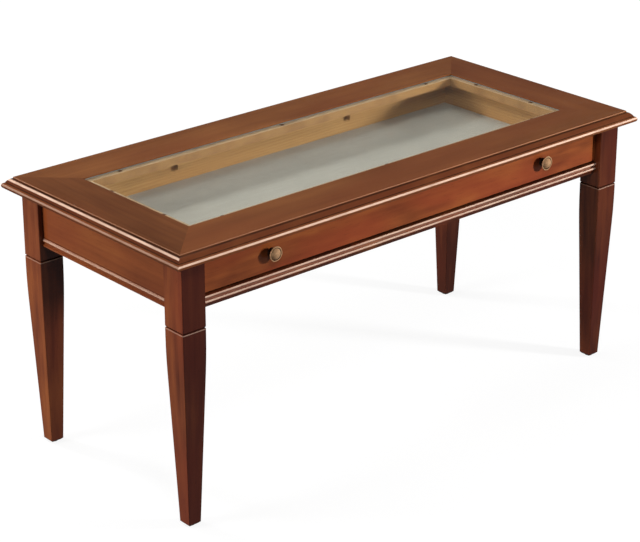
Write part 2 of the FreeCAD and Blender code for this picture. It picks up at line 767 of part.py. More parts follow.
def drawer_side(label, sign):
    """A drawer side: dovetailed at both ends and grooved for the bottom panel."""
    side = body(label, (sign * DRAWER_X, 0, 0))
    outline = [(-DRAWER_FRONT_BACK, SIDE_BOTTOM), (DRAWER_REAR, SIDE_BOTTOM), (DRAWER_REAR, PANEL_TOP),
               (BACK_INNER, PANEL_TOP)]
    for tail in back_tails():
        outline += tail
    outline += [(BACK_INNER, SIDE_TOP), (-DRAWER_FRONT_BACK, SIDE_TOP)]
    for tail in reversed(front_tails()):
        outline += tail[::-1]
    pad(side, "board", "YZ_Plane", outline, S.side_thickness, "One side", sign > 0)
    cut(side, "groove", "YZ_Plane",
        [rectangle(-DRAWER_FRONT_BACK - S.tail_length, DRAWER_REAR, PANEL_BOTTOM - S.joint_clearance,
                   PANEL_TOP)],
        S.groove_depth, "One side", sign > 0, offset=-sign * S.side_thickness)
    return side


def socket_cuts(piece, outlines, name, shift=(0, 0)):
    """Cut the sockets that the dovetails of both drawer sides fill."""
    for side, sign in (("left", -1), ("right", 1)):
        loops = [[(y - shift[0], z - shift[1]) for y, z in tail] for tail in outlines]
        cut(piece, f"{name}_{side}", "YZ_Plane", loops, S.side_thickness, "One side", sign < 0,
            offset=sign * DRAWER_X)


def build_drawer():
    """The dovetailed drawer box, its bottom, lining and catches."""
    front = body("drawer_front")
    pad(front, "board", "XZ_Plane",
        rectangle(-DRAWER_X, DRAWER_X, RAIL_TOP + S.front_bottom_gap, UNDERSIDE - S.front_top_gap),
        S.front_thickness, "One side", True, DRAWER_FACE)
    soften(front, "Fillet", S.front_arris,
           lambda edge: edge.BoundBox.YLength < 1e-6 and edge.BoundBox.YMin < -value(DRAWER_FACE) + 1e-3)
    socket_cuts(front, front_tails(), "sockets")
    cut(front, "groove", "XZ_Plane",
        [rectangle(-SIDE_INNER - S.groove_depth, SIDE_INNER + S.groove_depth,
                   PANEL_BOTTOM - S.joint_clearance, PANEL_TOP)],
        S.groove_depth + S.joint_clearance, "One side", True, DRAWER_FRONT_BACK)
    bores(front, "knob_holes", [(sign * KNOB_X, KNOB_HEIGHT) for sign in (-1, 1)],
          S.knob_screw_diameter + S.screw_clearance * 2, S.front_thickness * THROUGH, "XZ_Plane", "Symmetric",
          offset=DRAWER_FACE)
    drawer_side("drawer_side_left", -1)
    drawer_side("drawer_side_right", 1)
    back = body("drawer_back")
    pad(back, "board", "XZ_Plane", rectangle(-DRAWER_X, DRAWER_X, PANEL_TOP, SIDE_TOP),
        S.back_thickness, "One side", True, -BACK_INNER)
    socket_cuts(back, back_tails(), "sockets")
    bottom = body("drawer_bottom", (0, 0, PANEL_BOTTOM))
    reach = SIDE_INNER + S.groove_depth - S.joint_clearance
    pad(bottom, "panel", "XY_Plane",
        rectangle(-reach, reach, -DRAWER_FRONT_BACK - S.groove_depth, DRAWER_REAR),
        S.bottom_thickness, "One side")
    panel_screws = [(x, PANEL_SCREW_Y) for x in PANEL_SCREWS]
    bores(bottom, "screw_holes", panel_screws, S.panel_screw_diameter + S.screw_clearance * 2,
          S.bottom_thickness * THROUGH, side="Symmetric")
    bores(back, "screw_pilots", panel_screws,
          S.panel_screw_diameter + S.screw_clearance * 2, S.panel_screw_bite + S.screw_clearance,
          backwards=True, offset=PANEL_TOP)
    screws = [screw(f"panel_screw_{number}", (x, y, PANEL_BOTTOM),
                    (S.panel_screw_diameter, S.bottom_thickness + S.panel_screw_bite),
                    (S.panel_head_diameter, S.panel_head_height))
              for number, (x, y) in enumerate(panel_screws)]
    group("drawer_bottom_screws", screws)
    brace = body("drawer_bottom_brace", (0, 0, PANEL_BOTTOM - S.brace_thickness))
    pad(brace, "strip", "XY_Plane",
        rectangle(-S.brace_width / 2, S.brace_width / 2, -DRAWER_FRONT_BACK,
                  PANEL_SCREW_Y - S.brace_clearance), S.brace_thickness, "One side")
    lining = body("display_lining", (0, 0, PANEL_TOP))
    edge = S.lining_clearance
    pad(lining, "board", "XY_Plane",
        rectangle(-SIDE_INNER + edge, SIDE_INNER - edge, -DRAWER_FRONT_BACK + edge, BACK_INNER - edge),
        S.lining_thickness, "One side")
    for side, sign in (("left", -1), ("right", 1)):
        catch = body(f"drawer_catch_{side}", (sign * S.catch_spacing / 2, BACK_INNER - S.catch_thickness,
                                              SIDE_TOP + S.catch_rise - S.catch_height))
        pad(catch, "block", "XY_Plane",
            rectangle(-S.catch_width / 2, S.catch_width / 2, 0, S.catch_thickness),
            S.catch_height, "One side")


# ---- knobs ----

def knob_rose(label, base, bore):
    """The dished disc behind a knob, with a raised bevelled rim."""
    rose = body(label, base, 90, (1, 0, 0))
    rim = S.rose_diameter / 2
    lip_outside = rim - S.rose_bevel
    lip_inside = lip_outside - S.rose_lip
    revolve(rose, "section", [
        (bore, 0), (rim, 0), (rim, S.rose_rise - S.rose_bevel), (lip_outside, S.rose_rise),
        (lip_inside, S.rose_rise), (lip_inside - S.rose_rise + S.rose_dish, S.rose_dish),
        (bore, S.rose_dish)])
    return rose


def knob(label, base, bore, screw_end):
    """A turned knob, tapped from behind: straight neck, flared underside, flat rim, ring and domed middle."""
    turned = body(label, base, 90, (1, 0, 0))
    neck, back, head = S.neck_diameter / 2, S.head_back_diameter / 2, S.knob_diameter / 2
    face_start = S.head_edge_start + S.head_edge
    dome = S.dome_diameter / 2
    dome_rise = S.knob_projection - face_start + S.dome_ring_depth
    dome_radius = (dome * dome + dome_rise * dome_rise) / (dome_rise * 2)
    revolve(turned, "section", [
        (bore, S.rose_dish), (neck, S.rose_dish), (neck, S.rose_dish + S.neck_height),
        (back, S.head_start), (head, S.head_edge_start), (head, face_start),
        (dome + S.dome_ring_width, face_start), (dome, face_start - S.dome_ring_depth, dome_radius),
        (0, S.knob_projection), (0, screw_end), (bore, screw_end)])
    return turned


def build_knobs():
    """Two turned knobs, each on a dished rose, held by a screw from inside the drawer."""
    screws = []
    bore = S.knob_screw_diameter / 2 + S.screw_clearance
    screw_end = S.rose_dish + S.knob_screw_depth
    for side, sign in (("left", -1), ("right", 1)):
        base = (sign * KNOB_X, -DRAWER_FACE, KNOB_HEIGHT)
        knob_rose(f"knob_rose_{side}", base, bore)
        knob(f"knob_{side}", base, bore, screw_end)
        screws.append(screw(f"knob_screw_{side}", (sign * KNOB_X, -DRAWER_FRONT_BACK, KNOB_HEIGHT),
                            (S.knob_screw_diameter, S.front_thickness + screw_end - S.screw_clearance),
                            (S.screw_head_diameter, S.screw_head_height), 90))
    group("knob_screws", screws)


def write_parts():
    """Check every object and write one STEP file for each piece."""
    doc.recompute()
    broken = [item.Name for item in doc.Objects if "Invalid" in item.State or "Error" in item.State]
    if broken:
        raise RuntimeError(f"failed: {broken}")
    os.makedirs("parts", exist_ok=True)
    for piece in PIECES:
        if piece.Shape.isNull() or not piece.Shape.isValid():
            raise RuntimeError(f"{piece.Label} has no valid shape")
        piece.Shape.exportStep(f"parts/{piece.Label}.step")
    print(len(PIECES), "nodes written")


fill_sheet()
build_top()
build_legs()
build_frame()
build_case()
build_top_screws()
build_drawer()
build_knobs()
write_parts()
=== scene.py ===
"""Finished looks of a collectors display table.

The glazed top of the table shows the lined drawer that slides below it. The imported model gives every
solid. This file gives each of them its finish and models the turned, moulded and ground pieces anew.
Lengths are in metres: X runs along the table, -Y points out of the drawer front, Z is up from the floor.
"""

import logging
import math
from contextlib import contextmanager
from dataclasses import dataclass, replace
from enum import Enum
from typing import Any, Callable, Iterator, Optional, Sequence

import bmesh
import bpy
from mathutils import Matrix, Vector


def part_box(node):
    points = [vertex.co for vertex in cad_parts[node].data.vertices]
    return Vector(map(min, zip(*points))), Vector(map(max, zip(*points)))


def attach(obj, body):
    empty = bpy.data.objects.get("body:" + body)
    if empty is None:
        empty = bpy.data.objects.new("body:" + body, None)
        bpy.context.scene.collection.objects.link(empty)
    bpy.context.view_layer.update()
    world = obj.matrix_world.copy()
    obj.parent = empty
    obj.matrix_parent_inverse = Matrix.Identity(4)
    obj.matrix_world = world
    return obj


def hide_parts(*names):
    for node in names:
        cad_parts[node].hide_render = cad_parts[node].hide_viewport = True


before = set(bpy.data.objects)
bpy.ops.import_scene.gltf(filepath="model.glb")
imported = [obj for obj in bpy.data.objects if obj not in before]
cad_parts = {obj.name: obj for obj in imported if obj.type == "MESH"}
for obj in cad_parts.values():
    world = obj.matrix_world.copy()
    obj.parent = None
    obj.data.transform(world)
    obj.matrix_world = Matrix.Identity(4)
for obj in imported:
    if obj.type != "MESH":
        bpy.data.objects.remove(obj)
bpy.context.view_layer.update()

PICTURE_WIDTH = 640
SENSOR_WIDTH = 36.0

log = logging.getLogger("display_table")

Colour = tuple[float, float, float, float]
Span = tuple[float, float]
Point = tuple[float, float, float]
FaceTest = Callable[[bmesh.types.BMFace], bool]

ORIGIN = (0.0, 0.0, 0.0)
WHITE = (1.0, 1.0, 1.0, 1.0)
OUT_OF_DRAWER = Vector((0, -1, 0))
UP = Vector((0, 0, 1))
SIDES = ("left", "right")
ENDS = ("front_left", "front_right", "back_left", "back_right")
WELD = 1e-6


def display(red: int, green: int, blue: int) -> Colour:
    """Turns a colour as a display names it into the linear one that shaders use.

    Args:
        red: Red, 0 to 255.
        green: Green, 0 to 255.
        blue: Blue, 0 to 255.

    Returns:
        The linear colour, with full alpha.
    """
    def linear(level: int) -> float:
        """One channel, by the display's transfer curve."""
        share = level / 255
        return share / 12.92 if share <= 0.04045 else ((share + 0.055) / 1.055) ** 2.4

    return (linear(red), linear(green), linear(blue), 1.0)


# Shader graphs


class Signal:
    """An output socket of a graph. Python's operators on it add Math nodes."""

    def __init__(self, graph: "Graph", socket: bpy.types.NodeSocket) -> None:
        """Keeps the socket and the graph it belongs to."""
        self.graph = graph
        self.socket = socket

    def _math(self, operation: str, first: Any, second: Any = 0.0) -> "Signal":
        """Adds one Math node."""
        return self.graph.node("ShaderNodeMath", {"operation": operation}, {0: first, 1: second})

    def __add__(self, other: Any) -> "Signal":
        """self + other."""
        return self._math("ADD", self, other)

    def __radd__(self, other: Any) -> "Signal":
        """other + self."""
        return self._math("ADD", other, self)

    def __sub__(self, other: Any) -> "Signal":
        """self - other."""
        return self._math("SUBTRACT", self, other)

    def __rsub__(self, other: Any) -> "Signal":
        """other - self."""
        return self._math("SUBTRACT", other, self)

    def __mul__(self, other: Any) -> "Signal":
        """self * other."""
        return self._math("MULTIPLY", self, other)

    def __rmul__(self, other: Any) -> "Signal":
        """other * self."""
        return self._math("MULTIPLY", other, self)

    def __pow__(self, other: Any) -> "Signal":
        """self ** other."""
        return self._math("POWER", self, other)

    def fraction(self) -> "Signal":
        """What is left of a whole number."""
        return self._math("FRACT", self)

    def sine(self) -> "Signal":
        """The sine of an angle."""
        return self._math("SINE", self)

    def size(self) -> "Signal":
        """The value without its sign."""
        return self._math("ABSOLUTE", self)

    def larger(self, other: Any) -> "Signal":
        """The larger of two values."""
        return self._math("MAXIMUM", self, other)

    def swing(self, depth: float) -> "Signal":
        """A value of about 0.5 as a swing about 0, the depth at either side."""
        return (self - 0.5) * depth * 2

    def step(self, low: float, high: float, start: float = 0.0, end: float = 1.0) -> "Signal":
        """Goes smoothly from start to end while the value goes from low to high."""
        inputs = {0: self, 1: low, 2: high, 3: start, 4: end}
        return self.graph.node("ShaderNodeMapRange", {"interpolation_type": "SMOOTHSTEP"}, inputs)


class Graph:
    """The node tree of its owner, a material or the world."""

    def __init__(self, owner: Any) -> None:
        """Empties the owner's node tree.

        Args:
            owner: The material or the world.
        """
        owner.use_nodes = True
        self.tree = owner.node_tree
        self.tree.nodes.clear()

    def node(
        self,
        kind: str,
        settings: Optional[dict[str, Any]] = None,
        inputs: Optional[dict[Any, Any]] = None,
        output: Any = 0,
    ) -> Signal:
        """Adds a node.

        Args:
            kind: The node's type.
            settings: Its settings, which are set first.
            inputs: Its sockets' values, or the signals that feed them.
            output: Index or name of the output to return.

        Returns:
            That output.
        """
        made = self.tree.nodes.new(kind)
        for name, value in (settings or {}).items():
            setattr(made, name, value)
        for key, value in (inputs or {}).items():
            if isinstance(value, Signal):
                self.tree.links.new(value.socket, made.inputs[key])
            else:
                made.inputs[key].default_value = value
        return Signal(self, made.outputs[output])

    def place(self, turn: Sequence[float] = ORIGIN, shift: Sequence[float] = ORIGIN) -> Signal:
        """Object coordinates, turned and then shifted.

        Args:
            turn: Angles about X, Y and Z in radians.
            shift: How far the pattern is moved, in metres.

        Returns:
            The placed coordinates.
        """
        coordinates = self.node("ShaderNodeTexCoord", output="Object")
        inputs = {"Vector": coordinates, "Rotation": turn, "Location": shift}
        return self.node("ShaderNodeMapping", inputs=inputs)

    def stretch(self, vector: Signal, factor: float) -> Signal:
        """Scales a vector along X. A factor under 1 draws the pattern out that way."""
        inputs = {0: vector, 1: (factor, 1.0, 1.0)}
        return self.node("ShaderNodeVectorMath", {"operation": "MULTIPLY"}, inputs)

    def axes(self, vector: Signal) -> tuple[Signal, Signal, Signal]:
        """The three parts of a vector."""
        split = self.node("ShaderNodeSeparateXYZ", inputs={0: vector})
        return tuple(Signal(self, socket) for socket in split.socket.node.outputs)

    def noise(self, vector: Signal, scale: float, detail: float = 2.0, rough: float = 0.5) -> Signal:
        """A cloudy value of about 0.5: its clouds per metre, its finer layers and their strength."""
        inputs = {"Vector": vector, "Scale": scale, "Detail": detail, "Roughness": rough}
        return self.node("ShaderNodeTexNoise", inputs=inputs)

    def mix(self, factor: Any, first: Any, second: Any, blend: str = "MIX") -> Signal:
        """Mixes two colours. The factor is the share of the second one."""
        settings = {"data_type": "RGBA", "blend_type": blend, "clamp_factor": True}
        return self.node("ShaderNodeMix", settings, {0: factor, 6: first, 7: second}, output=2)

    def ramp(self, value: Signal, *colours: Colour) -> Signal:
        """Turns a value into a colour.

        Args:
            value: The value.
            *colours: The colours from 0 to 1, evenly apart.

        Returns:
            The colour.
        """
        made = self.node("ShaderNodeValToRGB", None, {0: value})
        elements = made.socket.node.color_ramp.elements
        while len(elements) < len(colours):
            elements.new(1.0)
        for number, (element, colour) in enumerate(zip(elements, colours)):
            element.position = number / (len(colours) - 1)
            element.color = colour
        return made

    def bump(self, height: Signal, depth: float, strength: float = 1.0) -> Signal:
        """A surface normal that follows a height of 0 to 1, so many metres deep."""
        return self.node("ShaderNodeBump", None, {"Height": height, "Distance": depth, "Strength": strength})

    def surface(self, **inputs: Any) -> Signal:
        """Adds the main shader; each argument is one of its sockets, with _ for a space."""
        named = {name.replace("_", " "): value for name, value in inputs.items()}
        return self.node("ShaderNodeBsdfPrincipled", None, named)

    def output(self, shader: Signal, kind: str = "ShaderNodeOutputMaterial") -> None:
        """Ends the graph in its output node."""
        end = self.tree.nodes.new(kind)
        self.tree.links.new(shader.socket, end.inputs["Surface"])


def new_material(name: str) -> tuple[bpy.types.Material, Graph]:
    """Makes an empty material and its graph."""
    material = bpy.data.materials.new(name)
    return material, Graph(material)


# Finishes


class Finish:
    """What a finish of one shader has in common with the others."""

    def surface(self, graph: Graph) -> Signal:
        """Adds the finish's own nodes and returns its shader."""
        raise NotImplementedError

    def material(self, name: str) -> bpy.types.Material:
        """Builds the finish's material.

        Args:
            name: The material's name.

        Returns:
            The material.
        """
        material, graph = new_material(name)
        graph.output(self.surface(graph))
        return material


class Grain(Enum):
    """The way a board's grain runs, as the turn that brings it onto the pattern's X."""

    ALONG_X = (0.0, 0.0, 0.0)
    ALONG_Y = (0.0, 0.0, -math.pi / 2)
    ALONG_Z = (0.0, math.pi / 2, 0.0)


@dataclass(frozen=True)
class DarkFace:
    """The front and back faces of a leg that took the stain darker, and where the leg's middle is."""

    middle: Span
    share: float
    depth: Colour = display(135, 124, 150)
    blur: float = 0.0005


@dataclass(frozen=True)
class Band:
    """Another tone between certain levels: painted shade in the hollows, a painted highlight on the crests,
    or another tone of the wood.

    border is half the length and half the width of a line round the table. The band stays outside it,
    or with within, inside it.
    """

    levels: tuple[Span, ...]
    share: float
    colour: Colour
    soft: float = 0.0003
    bare: float = 0.0
    border: Optional[Span] = None
    within: bool = False
    blur: float = 0.0004


def painted_shade_band(*levels: Span, share: float = 0.85) -> Band:
    """Painted shade between the given levels, in the hollows and where parts shade each other."""
    return Band(levels, share, display(38, 18, 12))


def painted_highlight_band(
    *levels: Span,
    share: float = 0.6,
    colour: Colour = display(238, 202, 178),
    bare: float = 0.0,
) -> Band:
    """A pale painted highlight on the mouldings' high lines, and the share of the lacquer that it takes off.
    """
    return Band(levels, share, colour, 0.0005, bare)


@dataclass(frozen=True)
class WoodTones:
    """The colours of one wood, from its darkest streak to its palest, its red patches and its pores."""

    dark: Colour
    middle: Colour
    light: Colour
    red: Colour
    pore: Colour


@dataclass(frozen=True)
class WoodFigure:
    """How strongly each mark of the wood shows, and its size.

    rings, clouds, flames, fibres and pores are counts across the grain per metre, and reds is a share of
    clouds. Each length says how far its marks are drawn out along the grain: the smaller, the longer.
    """

    rings: float = 90.0
    ring_depth: float = 0.06
    clouds: float = 17.0
    cloud_depth: float = 0.5
    flames: float = 52.0
    flame_depth: float = 0.2
    fibres: float = 380.0
    fibre_depth: float = 0.1
    fibre_roughness: float = 0.12
    pores: float = 900.0
    pore_depth: float = 0.25
    pore_step: Span = (0.63, 0.74)
    reds: float = 0.6
    red_depth: float = 0.5
    red_step: Span = (0.42, 0.66)
    grain_length: float = 0.07
    cloud_length: float = 0.36
    fibre_length: float = 0.02
    pore_length: float = 0.06
    wander: float = 14.0
    wander_depth: float = 0.045


@dataclass(frozen=True)
class Lacquer:
    """A clear coat over wood. A weight of 0 leaves the wood bare."""

    wood_roughness: float = 0.55
    specular: float = 0.06
    weight: float = 0.75
    roughness: float = 0.14


@dataclass(frozen=True)
class Wood:
    """A board: its wood, how it is cut and how it is finished.

    pith is how far the tree's middle lies across from the first board and below it. apart is how far
    the next board moves along the tree, across it and below it. band_unevenness is a count per metre of the
    noise that makes the bands uneven, and band_unevenness_step says between which of its values the bands
    grow, from what share to what share.
    """

    tones: WoodTones
    figure: WoodFigure
    lacquer: Lacquer
    relief: float = 0.00002
    pith: Span = (0.11, 0.16)
    apart: Point = (0.37, 0.043, 0.031)
    band_unevenness: float = 23.0
    band_unevenness_step: tuple[float, ...] = (0.25, 0.6, 0.7, 1.0)

    def material(
        self,
        name: str,
        grain: Grain,
        board: int,
        tone: float = 0.0,
        dark: Optional[DarkFace] = None,
        bands: Sequence[Band] = (),
    ) -> bpy.types.Material:
        """Builds the material of one board.

        Args:
            name: The material's name.
            grain: The way the grain runs.
            board: Its number, which takes it from its own place in the tree.
            tone: How much lighter, above 0, or darker the board is.
            dark: The faces that took the stain darker, if it has some.
            bands: Its painted shade in the hollows, painted highlights on the crests and other tones.

        Returns:
            The material.
        """
        material, graph = new_material(name)
        figure, tones = self.figure, self.tones
        along, across, below = self.apart
        shift = (along * board, self.pith[0] + across * (board % 5), self.pith[1] + below * (board % 3))
        place = graph.place(grain.value, shift)
        drawn_out = graph.stretch(place, figure.grain_length)
        patches = graph.stretch(place, figure.cloud_length)
        clouds = graph.noise(patches, figure.clouds, 2.0, 0.5)
        reds = graph.noise(patches, figure.clouds * figure.reds, 1.0, 0.4).step(*figure.red_step)
        flames = graph.noise(drawn_out, figure.flames, 3.0, 0.6)
        fibres = graph.noise(graph.stretch(place, figure.fibre_length), figure.fibres, 3.0, 0.6)
        pores = graph.noise(graph.stretch(place, figure.pore_length), figure.pores, 1.0, 0.5)
        pores = pores.step(*figure.pore_step)
        shade = 0.5 + tone + clouds.swing(figure.cloud_depth) + flames.swing(figure.flame_depth)
        shade = shade + fibres.swing(figure.fibre_depth) - self._rings(graph, drawn_out) * figure.ring_depth
        colour = graph.ramp(shade, tones.dark, tones.middle, tones.light)
        colour = graph.mix(reds * figure.red_depth, colour, tones.red)
        colour = graph.mix(pores * figure.pore_depth, colour, tones.pore)
        if dark:
            colour = self._darken_faces(graph, colour, dark)
        coat: Any = self.lacquer.weight
        if bands:
            colour, coat = self._lay_bands(graph, colour, coat, bands)
        surface = graph.surface(
            Base_Color=colour,
            Roughness=self.lacquer.wood_roughness + (fibres - 0.5) * figure.fibre_roughness,
            Specular_IOR_Level=self.lacquer.specular,
            Coat_Weight=coat,
            Coat_Roughness=self.lacquer.roughness,
            Normal=graph.bump((fibres - pores) * 0.5 + 0.5, self.relief),
        )
        graph.output(surface)
        return material

    def _rings(self, graph: Graph, drawn_out: Signal) -> Signal:
        """Growth rings about the pith: each darkens slowly and ends sharply.

        Args:
            graph: The material's graph.
            drawn_out: Coordinates drawn out along the grain.

        Returns:
            How dark the ring is, 0 to 1.
        """
        _, across, below = graph.axes(drawn_out)
        wander = (graph.noise(drawn_out, self.figure.wander, 2.0) - 0.5) * self.figure.wander_depth
        radius = ((across + wander) ** 2.0 + (below + wander) ** 2.0) ** 0.5
        turn = (radius * self.figure.rings).fraction()
        return turn.step(0.15, 0.85) * turn.step(0.85, 1.0, 1.0, 0.0)

    @staticmethod
    def _darken_faces(graph: Graph, colour: Signal, dark: DarkFace) -> Signal:
        """Deepens the colour on the leg's faces that look to the front and to the back.

        Args:
            graph: The material's graph.
            colour: The wood's colour.
            dark: The darker faces.

        Returns:
            The colour with those faces darkened.
        """
        middle_x, middle_y = dark.middle
        x, y, _ = graph.axes(graph.place(shift=(-middle_x, -middle_y, 0.0)))
        mask = (y.size() - x.size()).step(-dark.blur, dark.blur)
        deep = graph.mix(1.0, colour, dark.depth, "MULTIPLY")
        return graph.mix(mask * dark.share, colour, deep)

    def _lay_bands(
        self, graph: Graph, colour: Signal, coat: Any, bands: Sequence[Band]
    ) -> tuple[Signal, Any]:
        """Lays each band's tone over the wood, a little unevenly along its length.

        Args:
            graph: The material's graph.
            colour: The wood's colour.
            coat: The lacquer's weight.
            bands: The bands.

        Returns:
            The colour and the lacquer's weight with the bands laid over them.
        """
        place = graph.place()
        x, y, level = graph.axes(place)
        band_unevenness = graph.noise(place, self.band_unevenness, 2.0).step(*self.band_unevenness_step)
        for band in bands:
            where: Any = 1.0
            if band.border:
                beyond = (x.size() - band.border[0]).larger(y.size() - band.border[1])
                where = beyond.step(0.0, band.blur, float(band.within), float(not band.within))
            for low, high in band.levels:
                inside = level.step(low - band.soft, low + band.soft) * where
                inside = inside * level.step(high - band.soft, high + band.soft, 1.0, 0.0)
                colour = graph.mix(inside * band_unevenness * band.share, colour, band.colour)
                if band.bare:
                    coat = coat * (1 - inside * band.bare)
        return colour, coat


@dataclass(frozen=True)
class LiningCloth(Finish):
    """Pale cloth drawn over card. threads, slubs and clouds are counts per metre."""

    colour: Colour = display(204, 198, 186)
    shade: Colour = display(184, 179, 168)
    threads: float = 900.0
    slubs: float = 350.0
    slub_length: float = 0.05
    clouds: float = 7.0
    shares: Point = (0.35, 0.35, 0.3)
    relief: float = 0.0002

    def surface(self, graph: Graph) -> Signal:
        """Crossing threads, and the slubs that run along some of them.

        Args:
            graph: The material's graph.

        Returns:
            The shader.
        """
        place = graph.place()
        x, y, _ = graph.axes(place)
        turns = 2 * math.pi * self.threads
        weave = ((x * turns).sine() * (y * turns).sine()) * 0.25 + 0.5
        slubs = graph.noise(graph.stretch(place, self.slub_length), self.slubs, 2.0)
        clouds = graph.noise(place, self.clouds, 2.0)
        mixed = weave * self.shares[0] + slubs * self.shares[1] + clouds * self.shares[2]
        return graph.surface(
            Base_Color=graph.mix(mixed.step(0.3, 0.7), self.shade, self.colour),
            Roughness=0.9,
            Specular_IOR_Level=0.15,
            Sheen_Weight=0.2,
            Normal=graph.bump(weave, self.relief, 0.5),
        )


@dataclass(frozen=True)
class ClearGlass(Finish):
    """Float glass, wiped with a cloth. Lamps shine through it onto what it covers."""

    tint: Colour = (0.965, 0.985, 0.975, 1.0)
    index: float = 1.5
    wipe_turn: float = 0.4
    wipe_length: float = 0.2
    wipes: float = 22.0

    def surface(self, graph: Graph) -> Signal:
        """Clear glass with faint wipe marks in its gloss, open to the rays that look for a lamp.

        Args:
            graph: The material's graph.

        Returns:
            The shader.
        """
        place = graph.place((0.0, 0.0, self.wipe_turn))
        wipes = graph.noise(graph.stretch(place, self.wipe_length), self.wipes, 3.0)
        glass = graph.surface(
            Base_Color=self.tint,
            Roughness=wipes.step(0.5, 0.8, 0.0, 0.02),
            IOR=self.index,
            Transmission_Weight=1.0,
        )
        open_way = graph.node("ShaderNodeBsdfTransparent", None, {0: self.tint})
        to_lamp = graph.node("ShaderNodeLightPath", output="Is Shadow Ray")
        return graph.node("ShaderNodeMixShader", None, {0: to_lamp, 1: glass, 2: open_way})


@dataclass(frozen=True)
class GroundEdge(Finish):
    """The frosted edge that a stone leaves on cut glass."""

    colour: Colour = display(164, 170, 168)
    shade: Colour = display(120, 128, 124)
    grit: float = 700.0
    relief: float = 0.0001

    def surface(self, graph: Graph) -> Signal:
        """A fine frost with small chips.

        Args:
            graph: The material's graph.

        Returns:
            The shader.
        """
        frost = graph.noise(graph.place(), self.grit, 3.0)
        return graph.surface(
            Base_Color=graph.mix(frost.step(0.3, 0.7), self.shade, self.colour),
            Roughness=frost.step(0.2, 0.8, 0.35, 0.6),
            Transmission_Weight=0.35,
            Normal=graph.bump(frost, self.relief, 0.5),
        )


@dataclass(frozen=True)
class SoftPad(Finish):
    """Clear soft plastic that takes on the tone of the wood beneath."""

    colour: Colour = display(112, 72, 44)
    shade: Colour = display(94, 58, 34)
    grain: float = 600.0

    def surface(self, graph: Graph) -> Signal:
        """A slight haze in the tone and the gloss.

        Args:
            graph: The material's graph.

        Returns:
            The shader.
        """
        haze = graph.noise(graph.place(), self.grain, 2.0)
        return graph.surface(
            Base_Color=graph.mix(haze, self.colour, self.shade),
            Roughness=haze.step(0.2, 0.8, 0.4, 0.55),
            Specular_IOR_Level=0.3,
        )


@dataclass(frozen=True)
class AgedMetal(Finish):
    """Metal whose hollows have darkened and whose high spots are rubbed bright."""

    bright: Colour
    dull: Colour
    roughness: float = 0.32
    grains: float = 260.0
    tarnish: float = 0.55
    metal: float = 1.0
    patina_step: Span = (0.35, 0.68)
    patina_loss: float = 0.25
    pit_step: Span = (0.6, 0.75)
    pit_depth: float = 0.3
    relief: float = 0.00004

    def surface(self, graph: Graph) -> Signal:
        """Patches of patina and small pits.

        Args:
            graph: The material's graph.

        Returns:
            The shader.
        """
        place = graph.place()
        patches = graph.noise(place, self.grains, 3.0, 0.6)
        pits = graph.noise(place, self.grains * 6, 2.0, 0.5).step(*self.pit_step)
        patina = patches.step(*self.patina_step) * self.tarnish
        return graph.surface(
            Base_Color=graph.mix(patina + pits * self.pit_depth, self.bright, self.dull),
            Metallic=self.metal - patina * self.patina_loss,
            Roughness=self.roughness + patina * self.patina_loss,
            Normal=graph.bump(patches - pits, self.relief, 0.6),
        )


@dataclass(frozen=True)
class MouldedPlastic(Finish):
    """Matt plastic with the fine skin of its mould."""

    colour: Colour = display(62, 50, 42)
    scuffed: Colour = display(98, 86, 76)
    skin: float = 1500.0
    scuffs: float = 180.0
    scuff_step: Span = (0.55, 0.75)
    scuff_depth: float = 0.3
    relief: float = 0.00005

    def surface(self, graph: Graph) -> Signal:
        """The mould's skin in the gloss, and the paler scuffs of use.

        Args:
            graph: The material's graph.

        Returns:
            The shader.
        """
        place = graph.place()
        skin = graph.noise(place, self.skin, 2.0)
        scuffs = graph.noise(place, self.scuffs, 3.0).step(*self.scuff_step)
        return graph.surface(
            Base_Color=graph.mix(scuffs * self.scuff_depth, self.colour, self.scuffed),
            Roughness=skin.step(0.2, 0.8, 0.5, 0.66),
            Specular_IOR_Level=0.4,
            Normal=graph.bump(skin, self.relief, 0.5),
        )


def wood_tones(*tones: tuple[int, int, int]) -> WoodTones:
    """The tones of a wood in WoodTones' order, as a display names them."""
    return WoodTones(*(display(*tone) for tone in tones))


STAINED_TONES = wood_tones((85, 47, 26), (117, 70, 40), (142, 90, 51), (119, 61, 36), (66, 34, 18))
RED_TONES = wood_tones((98, 46, 24), (142, 75, 38), (180, 108, 52), (138, 60, 34), (66, 28, 17))
LEG_TONES = wood_tones((84, 38, 23), (128, 65, 36), (156, 86, 44), (124, 50, 32), (56, 24, 16))
DRAWER_TONES = wood_tones((172, 126, 74), (200, 154, 98), (218, 178, 122), (198, 142, 86), (138, 96, 54))
SOFTWOOD_TONES = wood_tones((164, 124, 80), (196, 158, 110), (214, 182, 136), (190, 142, 96), (140, 98, 60))

SATIN = Lacquer()
THIN_LACQUER = Lacquer(wood_roughness=0.55, specular=0.15, weight=0.2, roughness=0.25)
BARE = Lacquer(wood_roughness=0.75, specular=0.2, weight=0.0)
CLOUDY = WoodFigure(clouds=21.0, cloud_depth=1.05, flame_depth=0.3, red_depth=0.7)
EVEN = WoodFigure(clouds=13.0, cloud_depth=0.5, flame_depth=0.2, fibre_depth=0.08, red_depth=0.35)
STREAKED = WoodFigure(clouds=16.0, cloud_depth=0.7, flames=64.0, flame_depth=0.65, red_depth=0.6)
PLAIN = WoodFigure(cloud_depth=0.15, flame_depth=0.2, ring_depth=0.25, rings=200.0, red_depth=0.3)

TOP_WOOD = Wood(STAINED_TONES, EVEN, SATIN)
FRAME_WOOD = Wood(RED_TONES, CLOUDY, SATIN)
APRON_WOOD = Wood(RED_TONES, EVEN, SATIN)
LEG_WOOD = Wood(LEG_TONES, STREAKED, SATIN)
DRAWER_WOOD = Wood(DRAWER_TONES, PLAIN, THIN_LACQUER)
SOFTWOOD = Wood(SOFTWOOD_TONES, PLAIN, BARE)

